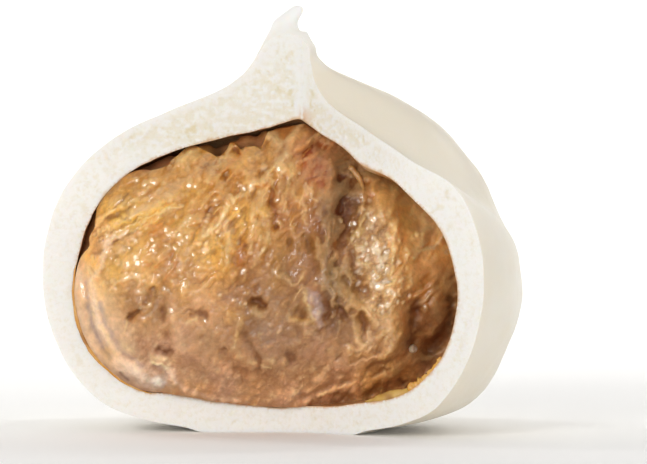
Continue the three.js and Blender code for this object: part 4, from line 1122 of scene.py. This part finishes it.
def regionTint(masks, shape):
    tint = np.broadcast_to(rgb(meat["base"]), (*shape, 3)).copy()
    total = np.zeros(shape)
    for name, mask in masks.items():
        share = mask / (total + mask + 0.15)
        total += mask
        tint += (rgb(regions[name][3]) - tint) * share[..., None]
    return tint


def layLumps(x, z, y, tint, masks):
    # packed lumps, each in its own tint, and torn fibres; steam has left pits in the paste. The creases
    # between lumps and the pits are painted brown as shade
    paste, granules = masks["paste"], masks["granules"]
    big, bigNumber = clumps(x, z, 2.4, 61, 60, 1.5)
    mid, midNumber = clumps(x, z, 1.3, 63)
    small, smallNumber = clumps(x, z, 0.6, 65)
    smooth = np.clip(sum(share * masks[name] for name, share in meat["smooth"].items()), 0, 1)
    rough = (1 - 0.85 * smooth) * meat["clumpRelief"]
    y -= rough * ((big - 0.5) + 1.3 * (bigNumber - 0.5)) * (1 - 0.4 * paste)
    y -= rough * (0.75 * (mid - 0.5) + 0.5 * (midNumber - 0.5)) * (0.8 + 0.5 * granules)
    y -= rough * 0.45 * (small - 0.5) * (0.7 + 0.3 * paste + 0.7 * granules)
    for name, share, *run in fibreRuns:
        y -= meat["fibreRelief"] * share * masks[name] * fibres(x, z, *run)
    y -= 0.3 * layeredNoise(x / 4, z / 4, 78, 3)

    drift = layeredNoise(x / 5 + 3, z / 5, 88, 3)
    tint *= (1 + (0.16 * (midNumber - 0.5) * (1 - smooth) + 0.1 * (bigNumber - 0.5)) * big)[..., None]
    blend(tint, "golden", 0.3 * smoothstep(drift, 0, 0.5) * (1 - paste))
    blend(tint, "pink", 0.4 * smoothstep(-drift, 0.05, 0.5))
    blend(tint, "cream", 0.35 * smoothstep(midNumber, 0.75, 0.9) * mid * (1 - smooth) * (1 - 0.5 * paste))
    # painted shade in the creases between lumps
    blend(tint, "brown", 0.3 * (1 - mid) * (1 - smooth) * (1 - 0.7 * paste))
    blend(tint, "brown", 0.15 * (1 - small) * (1 - smooth) * (1 - 0.6 * paste))
    pitted = smoothstep(smallNumber, 0.955, 0.96) * small * paste
    y += 0.35 * pitted
    # painted shade in the pits
    blend(tint, "brown", 0.6 * pitted)
    return small


def layStrokes(x, z, y, tint, masks):
    # strokes, strands and washes of tint, painted light and painted shade along lines that waver, less so at
    # the lip, and fray
    wobble = 1 - 0.75 * masks["lip"]
    wx = x + wobble * (0.3 * softNoise(x / 0.9, z / 0.9, 81) + 0.13 * softNoise(x / 0.4, z / 0.4, 82))
    wz = z + wobble * (0.3 * softNoise(x / 0.9, z / 0.9, 83) + 0.13 * softNoise(x / 0.4, z / 0.4, 84))
    frayed, faded = 1 + 0.4 * softNoise(x / 0.8, z / 0.8, 85), 0.8 + 0.3 * softNoise(x / 0.6, z / 0.6, 86)
    for name, strength, width, rise, line in strokes:
        near = nearLine(wx, wz, line, width * frayed)
        y -= meat["relief"] * rise * near
        blend(tint, name, strength * faded * near)
    for name, width, rise, line in strands + scatterStrands():
        near = nearLine(wx, wz, line, width * (0.6 + 0.4 * frayed), 4)
        y -= rise * (near - 0.25 * nearLine(wx, wz, line, 2 * width))
        blend(tint, name, meat["strandTint"] * faded * near)
    tint *= meat["balance"]
    # washes of tint with painted light and painted shade
    for gain, width, line in lightShadeAndTintWashes:
        tint *= 1 + (np.array(gain) - 1) * nearLine(wx, wz, line, width)[..., None]
    tint /= np.maximum(1, tint.max(axis=-1, keepdims=True) / meat["brightest"])


def wetFilm(x, z, masks):
    wet = 0.2 + 0.5 * smoothstep(layeredNoise(x / 3, z / 3, 95, 3), -0.25, 0.25)
    wet *= 1 - 0.5 * masks["paste"] - 0.3 * masks["foot"] - 0.6 * masks["valley"]
    wet *= 1 - 0.6 * masks["topRight"]
    return wet * (1 - 0.85 * nearLine(x, z, meat["dryLine"], 2))


def layBeads(x, z, y, tint, wet, masks):
    # each bead is a shallow facet, wet all over and calm, painted paler as a painted highlight, and paler
    # still among the granules, a painted highlight partly on pale fat
    calm = np.zeros(x.shape)
    slopeX, slopeZ = meat["beadSlope"]
    uneven = (0.35 + 0.5 * masks["granules"]) * softNoise(x / 0.8, z / 0.8, 99)
    for bx, bz, radius in beads + scatterBeads():
        dx, dz = x - bx, z - bz
        near = 1 - smoothstep(np.hypot(dx, dz) * (1 + uneven), 0.7 * radius, 1.3 * radius)
        level = np.sum(y * near) / np.sum(near)
        facet = level + slopeX * dx + slopeZ * dz + (dx * dx + dz * dz) / (12 * radius) - 0.1 * radius
        y = lerp(y, facet, 0.85 * near)
        wet, calm = np.maximum(wet, near), np.maximum(calm, near)
        # painted highlight on every bead, stronger among the granules
        blend(tint, "cream", 0.25 * near)
        blend(tint, "paleFatGlint", (0.22 + 0.9 * max(0, radius - 0.4)) * near * masks["granules"])
    return y, wet, calm


def sculptFront(x, z):
    # the torn front as the strokes leave it: depth, tint, wetness and how calm its wet film is
    masks = {name: region(name, x, z) for name in regions}
    y, tint = meatForm(x, z), regionTint(masks, x.shape)
    small = layLumps(x, z, y, tint, masks)
    layStrokes(x, z, y, tint, masks)
    # painted shade between the granules
    blend(tint, "brown", 0.3 * masks["granules"] * (1 - small))
    y = lerp(y, blur(y, 1), 0.6)
    y = lerp(y, blur(y, 3), 0.6 * masks["paste"] * smoothstep(-x, 4, 18))
    y, wet, calm = layBeads(x, z, y, tint, wetFilm(x, z, masks), masks)
    return y, tint, wet, calm


def gapAt(x, y, z):
    high = smoothstep(z, *gaps["ceilingFrom"])
    gap = high * np.interp(x, *zip(*gaps["ceiling"]))
    hidden = smoothstep(y, 0.4, 2.6)  # out of sight it has drawn back unevenly
    gap = lerp(gap, 0.3 + 0.7 * smoothstep(softNoise(x / 1.6, z / 1.6, 93), -0.4, 0.6), hidden * high)
    shallow = 1 - smoothstep(y, 0, 1.6)
    gap += (x < -gaps["sidesFrom"]) * np.interp(z, *zip(*gaps["leftSide"])) * (1 - high) * shallow
    gap += (x > gaps["sidesFrom"]) * np.interp(z, *zip(*gaps["rightSide"]))
    ragged = 0.5 * layeredNoise(x / 2.2, z / 2.2, 91, 2) + 0.18 * softNoise(x / 0.8, z / 0.8, 92)
    return gap * (1 + ragged) + 0.02


# the grid that the front is modelled on
frontXs, frontZs = (np.arange(*span, meat["cell"]) for span in (meat["across"], meat["up"]))


def nearestCell(x, z):
    row, column = (
        np.clip(np.round((np.asarray(places) - line[0]) / meat["cell"]).astype(int), 0, len(line) - 1)
        for places, line in ((z, frontZs), (x, frontXs))
    )
    return row, column


def paintMeat(piece, x, z, y, tint, wet, calm):
    # tint and wetness, read back from the front's own grid; clefts get painted shade and crests painted light
    places = np.empty(len(piece.data.vertices) * 3)
    piece.data.vertices.foreach_get("co", places)
    px, py, pz = places.reshape(-1, 3).T / mm
    at = nearestCell(px, pz)
    cleft = (y - blur(y, 3)) * 1.2 + (y - blur(y, 9)) * 0.45
    cleft *= (1 - 0.9 * region("lip", x, z)) * (1 - 0.35 * region("tangle", x, z))
    cleft = cleft[at]
    # painted shade in the clefts and painted light on the crests
    paint = lerp(tint[at], rgb(meat["cleft"]), 0.5 * smoothstep(cleft, 0.05, 0.8)[:, None])
    paint = lerp(paint, rgb(tints["cream"]), 0.25 * smoothstep(-cleft, 0.08, 0.6)[:, None])
    # meat set back behind the front is painted a darker brown, partly shade, and darker still as painted
    # shade in the gap under the ceiling
    behind = smoothstep(py - y[at], 0.4, 2.5)
    deep = np.exp(-(((px - meat["innerShadeAt"]) / 2.6) ** 2))
    deep += 0.5 * smoothstep(softNoise(px / 1.7, pz / 1.7, 94), 0, 0.5)
    inner = lerp(rgb(meat["inner"]), rgb(meat["innerShade"]), np.clip(deep, 0, 1)[:, None])
    paint = lerp(paint, inner, 0.85 * behind[:, None])
    film = np.maximum(wet[at] * (1 - 0.8 * smoothstep(cleft, 0, 0.5)), calm[at]) * (1 - behind)
    writeAttribute(piece, "tint", np.c_[paint, np.ones(len(px))])
    writeAttribute(piece, "wet", film)
    writeAttribute(piece, "calm", calm[at])
    shadeSmooth(piece)


def makeMeat():
    z, x = np.meshgrid(frontZs, frontXs, indexing="ij")
    y, tint, wet, calm = sculptFront(x, z)
    rows, columns = x.shape
    front = np.stack([x, y, z], axis=-1).reshape(-1, 3)
    at = np.arange(rows * columns).reshape(rows, columns)
    quads = np.stack([at[:-1, :-1], at[:-1, 1:], at[1:, 1:], at[1:, :-1]], axis=-1).reshape(-1, 4).tolist()
    border = np.concatenate([at[0, :-1], at[:-1, -1], at[-1, :0:-1], at[:0:-1, 0]])
    back = front[border] * [1, 0, 1] + [0, meat["back"], 0]
    first, n = len(front), len(border)
    sides = [(int(border[(i + 1) % n]), int(border[i]), first + i, first + (i + 1) % n) for i in range(n)]
    backFace = tuple(range(first + n - 1, first - 1, -1))
    piece = newPiece("meatFilling", np.vstack([front, back]), quads + sides + [backFace], finishes["meat"])
    room = hollowPoints(np.linspace(0, 1, 140), turnSteps(280), gapAt)
    carve(piece, ringPiece("room", room, finishes["meat"]), "INTERSECT")
    paintMeat(piece, x, z, y, tint, wet, calm)
    return piece, y


finishes["meat"] = makeMeatFinish()
filling, meatFront = makeMeat()
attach(filling, "root")
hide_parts("meat_filling")
print("meat made:", triangleCount(filling), "triangles")


# loose bits: tint, radius at either end, how far each stands off the meat, and its line
looseBits = {
    "curvedStrand": ("tan", (0.62, 0.3), 0.35, [(11.8, 44.2), (12.7, 43.2), (13.4, 42), (13.9, 40)]),
    "membrane": ("pink", (0.15, 0.15), 0.05,
                 [(7.4, 34.2), (7.7, 32.8), (8.1, 31.5), (7.9, 29.5), (7.8, 28), (7.3, 26)]),
    "droplet": ("lip", (0.75, 0.75), 0.3, [(22.05, 14.1), (22.15, 14.1)]),
}


def splineThrough(points, steps=8):
    p = np.array(points, float)
    p = np.vstack([2 * p[0] - p[1], p, 2 * p[-1] - p[-2]])
    t = np.linspace(0, 1, steps, endpoint=False)[:, None]
    line = [0.5 * (2 * b + (c - a) * t + (2 * a - 5 * b + 4 * c - d) * t**2 + (3 * b - a - 3 * c + d) * t**3)
            for a, b, c, d in zip(p[:-3], p[1:-2], p[2:-1], p[3:])]
    return np.vstack([*line, p[-2]])


def tube(line, radius, sides, seed):
    # rings round a line, with rounded, uneven thickness and closed ends
    line = np.asarray(line)
    ahead = np.gradient(line, axis=0)
    ahead /= np.linalg.norm(ahead, axis=1)[:, None]
    caps = np.linspace(0, math.pi / 2, 6)[:-1]
    spread = np.r_[np.sin(caps), np.ones(len(line)), np.sin(caps)[::-1]]
    shift = np.r_[-np.cos(caps), np.zeros(len(line)), np.cos(caps)[::-1]]
    at = np.r_[np.zeros(5, int), np.arange(len(line)), np.full(5, len(line) - 1)]
    across = np.cross(ahead, [0, 1, 0])
    across /= np.linalg.norm(across, axis=1)[:, None]
    up = np.cross(across, ahead)
    turn = np.linspace(0, 2 * math.pi, sides, endpoint=False)
    k = np.arange(len(line))
    thick = radius * (1 + 0.18 * softNoise(k / 3.1 + seed * 7.7, 0.5 + 0 * k, 5) * (len(line) > 4))
    centre = line[at] + ahead[at] * (shift * thick[at])[:, None]
    ring = np.cos(turn)[None, :, None] * across[at][:, None] + np.sin(turn)[None, :, None] * up[at][:, None]
    return centre[:, None] + ring * (spread * thick[at])[:, None, None]


def addBits(name, bits, finish):
    # several tubes as one piece, each with its own tint
    places, faces, paint = [], [], []
    for rings, tintName in bits:
        rows, sides = rings.shape[:2]
        start = sum(len(p) for p in places)
        at = start + 1 + np.arange((rows - 2) * sides).reshape(rows - 2, sides)
        ahead = np.roll(at, -1, axis=1)
        places.append(np.vstack([rings[:1].mean(1), rings[1:-1].reshape(-1, 3), rings[-1:].mean(1)]))
        last = start + len(places[-1]) - 1
        faces += np.stack([at[:-1], at[1:], ahead[1:], ahead[:-1]], axis=-1).reshape(-1, 4).tolist()
        faces += [(start, int(a), int(b)) for a, b in zip(at[0], ahead[0])]
        faces += [(int(b), int(a), last) for a, b in zip(at[-1], ahead[-1])]
        paint.append(np.tile(np.array(colour(tints[tintName])), (len(places[-1]), 1)))
    piece = newPiece(name, np.vstack(places), faces, finish)
    writeAttribute(piece, "tint", np.vstack(paint))
    writeAttribute(piece, "wet", np.full(len(piece.data.vertices), 0.9))
    shadeSmooth(piece)
    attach(piece, "root")


def makeStrands():
    bits = []
    for k, (tintName, (thick, thin), off, points) in enumerate(looseBits.values()):
        line = splineThrough(points)
        radius = np.linspace(thick, thin, len(line))
        y = blur(meatFront, 2)[nearestCell(line[:, 0], line[:, 1])] - off
        if len(line) > 12:  # long ones lie evenly over the lumps
            y = np.convolve(np.pad(y, 4, "edge"), np.ones(9) / 9, "valid")
        bits.append((tube(np.c_[line[:, 0], y, line[:, 1]], radius, 12, k), tintName))
    addBits("looseStrands", bits, finishes["meat"])


makeStrands()


# juice along the lower left edge, and fat with small bits behind the right rim
juice = {
    "pale": "#E8C88A",
    "bit": "#8A4E18",
    "filmSpan": (0.23, 0.52),  # shares of the hollow's line
    "filmDepth": -0.98,
    "poolAt": 27.5,
    "rimSlope": 0.727,  # how fast the right cut face comes forward
    "behindRim": 2.0,
    "fatRadius": 1.1,
    "fat": [(13.5, 4.6), (16, 5.6), (18.5, 6.6), (20.5, 7.3), (21.6, 7.9)],
    "bits": [(21.9, 8.3), (23.2, 9.3), (24.4, 10.4), (25.5, 11.8), (26.3, 13.2)],
}


def makeJuiceFinish():
    f = Finish("meatJuice")
    tint = f.attribute("tint", "Color")
    pale = f.mix(f.spread(f.noise(500, 3), 0.35, 0.7, 0.0, 0.4), tint, colour(juice["pale"]))
    f.set(Base_Color=f.mix(f.spread(f.noise(160, 2), 0.52, 0.64, 0.0, 0.6), pale, colour(juice["bit"])))
    f.set(Roughness=f.spread(f.noise(700, 2), 0.3, 0.7, 0.12, 0.22), IOR=1.38)
    f.set(Coat_Weight=0.6, Coat_Roughness=0.05)
    f.set(Subsurface_Weight=0.3, Subsurface_Radius=(1.0, 0.6, 0.2), Subsurface_Scale=0.001)
    f.set(Normal=f.bump(f.noise(900, 2), 0.0001, 0.4))
    return f.material


def behindRim(x):
    return cut["y"] - (x - cut["x"]) * juice["rimSlope"] + juice["behindRim"]


def juiceFilm(steps=100):
    r, z, _, _ = alongLine(hollowLine, np.linspace(*juice["filmSpan"], steps))
    pool = np.exp(-(((z - juice["poolAt"]) / 1.3) ** 2))
    uneven = 0.12 * softNoise(z / 2.1, z * 0 + 0.5, 41) + 0.16 * pool
    taper = np.sin(np.linspace(0.03, math.pi - 0.03, steps)) ** 0.6
    line = np.c_[-(r + 0.6 * uneven), np.full(steps, juice["filmDepth"]), z]
    return tube(line, (0.4 + 0.8 * uneven) * taper, 12, 3)


def softFat():
    xs, zs = zip(*juice["fat"])
    x = np.linspace(xs[0], xs[-1], 40)
    swell = 0.45 + 0.55 * np.sin(np.pi * (x - xs[0]) / (xs[-1] - xs[0]))
    swell += 0.12 * softNoise(x / 1.3, x * 0, 42)
    return tube(np.c_[x, behindRim(x), np.interp(x, xs, zs)], juice["fatRadius"] * swell, 18, 5)


def smallBits():
    x, z = splineThrough(juice["bits"], 12).T
    k = np.arange(len(x))
    lumpy = 0.75 + 0.25 * softNoise(k / 3.0, 0 * k, 43) + 0.15 * softNoise(k / 1.3, 0 * k, 44)
    return tube(np.c_[x, behindRim(x), z], lumpy * (1 - 0.5 * k / len(k)), 16, 7)


bits = [(juiceFilm(), "juice"), (softFat(), "fat"), (smallBits(), "golden")]
addBits("juiceAndFat", bits, makeJuiceFinish())
print("strands and juice made")


studio = {
    "floor": "#FDFCFA",
    "floorShade": "#FAF9F7",
    "reach": 3.0,
    "wallAt": 0.9,
    "bend": 0.35,
    "world": 0.33,
    "aim": (0, 0, 0.035),
    # place, width, height and power of each lamp that is aimed at the bun
    "lamps": {
        "keyLight": ((-0.42, -0.75, 0.36), 0.27, 0.27, 2.25),
        "frontFill": ((-0.2, -1.0, 0.18), 1.9, 0.34, 3.6),
        "rightFill": ((0.85, -0.5, 0.25), 0.6, 0.6, 1.8),
        "topLight": ((0.0, 0.0, 0.9), 0.7, 0.7, 1.0),
    },
    "backdropPower": 6.5,
}


def makeSweep():
    # a pale floor that curves up into the backdrop
    bend, wallAt, reach = studio["bend"], studio["wallAt"], studio["reach"]
    arc = [math.radians(a) for a in range(0, 91, 6)]
    line = [(wallAt + bend * math.sin(a), bend * (1 - math.cos(a))) for a in arc]
    line = [(-reach, 0.0), *line, (wallAt + bend, reach)]
    places = [(x / mm, y / mm, z / mm) for y, z in line for x in (-reach, reach)]
    faces = [(2 * i, 2 * i + 1, 2 * i + 3, 2 * i + 2) for i in range(len(line) - 1)]
    f = Finish("paleSweep")
    f.set(Base_Color=f.mix(f.noise(3, 2), colour(studio["floor"]), colour(studio["floorShade"])))
    f.set(Roughness=f.spread(f.noise(9, 3), 0.3, 0.7, 0.86, 0.94))
    sweep = newPiece("sweep", places, faces, f.material)
    shadeSmooth(sweep)


def areaLight(name, place, aim, width, height, power):
    data = bpy.data.lights.new(name, "AREA")
    data.shape, data.size, data.size_y, data.energy = "ELLIPSE", width, height, power
    lamp = bpy.data.objects.new(name, data)
    lamp.location = place
    lamp.rotation_euler = (Vector(aim) - Vector(place)).to_track_quat("-Z", "Y").to_euler()
    bpy.context.collection.objects.link(lamp)


makeSweep()
for name, (place, *shape) in studio["lamps"].items():
    areaLight(name, place, studio["aim"], *shape)
for side in (-1, 1):
    place, aim = (side * 0.7, 0.35, 0.6), (side * 0.3, 1.25, 0.15)
    areaLight("backdropLight", place, aim, 0.5, 0.5, studio["backdropPower"])

world = bpy.data.worlds.new("studioWorld")
bpy.context.scene.world = world
world.use_nodes = True
background = world.node_tree.nodes["Background"].inputs
background["Color"].default_value = (1, 1, 1, 1)
background["Strength"].default_value = studio["world"]
bpy.context.scene.view_settings.view_transform = "Standard"

view = {
    "distance": 0.6,
    "elevation": 1.5,
    "imageWidth": 647,
    "aim": (0.0071, 0.0, 0.0336),
    "pixelsPerMetre": 5950,
}


def makeCamera():
    data = bpy.data.cameras.new("camera")
    camera = bpy.data.objects.new("camera", data)
    data.sensor_width = 36
    data.lens = view["pixelsPerMetre"] * view["distance"] / view["imageWidth"] * data.sensor_width
    tilt = math.radians(view["elevation"])
    away = Vector((0, -math.cos(tilt), math.sin(tilt))) * view["distance"]
    camera.location = Vector(view["aim"]) + away
    camera.rotation_euler = (math.pi / 2 - tilt, 0, 0)
    data.clip_start, data.clip_end = 0.01, 20
    bpy.context.collection.objects.link(camera)
    bpy.context.scene.camera = camera


makeCamera()
print("studio made")
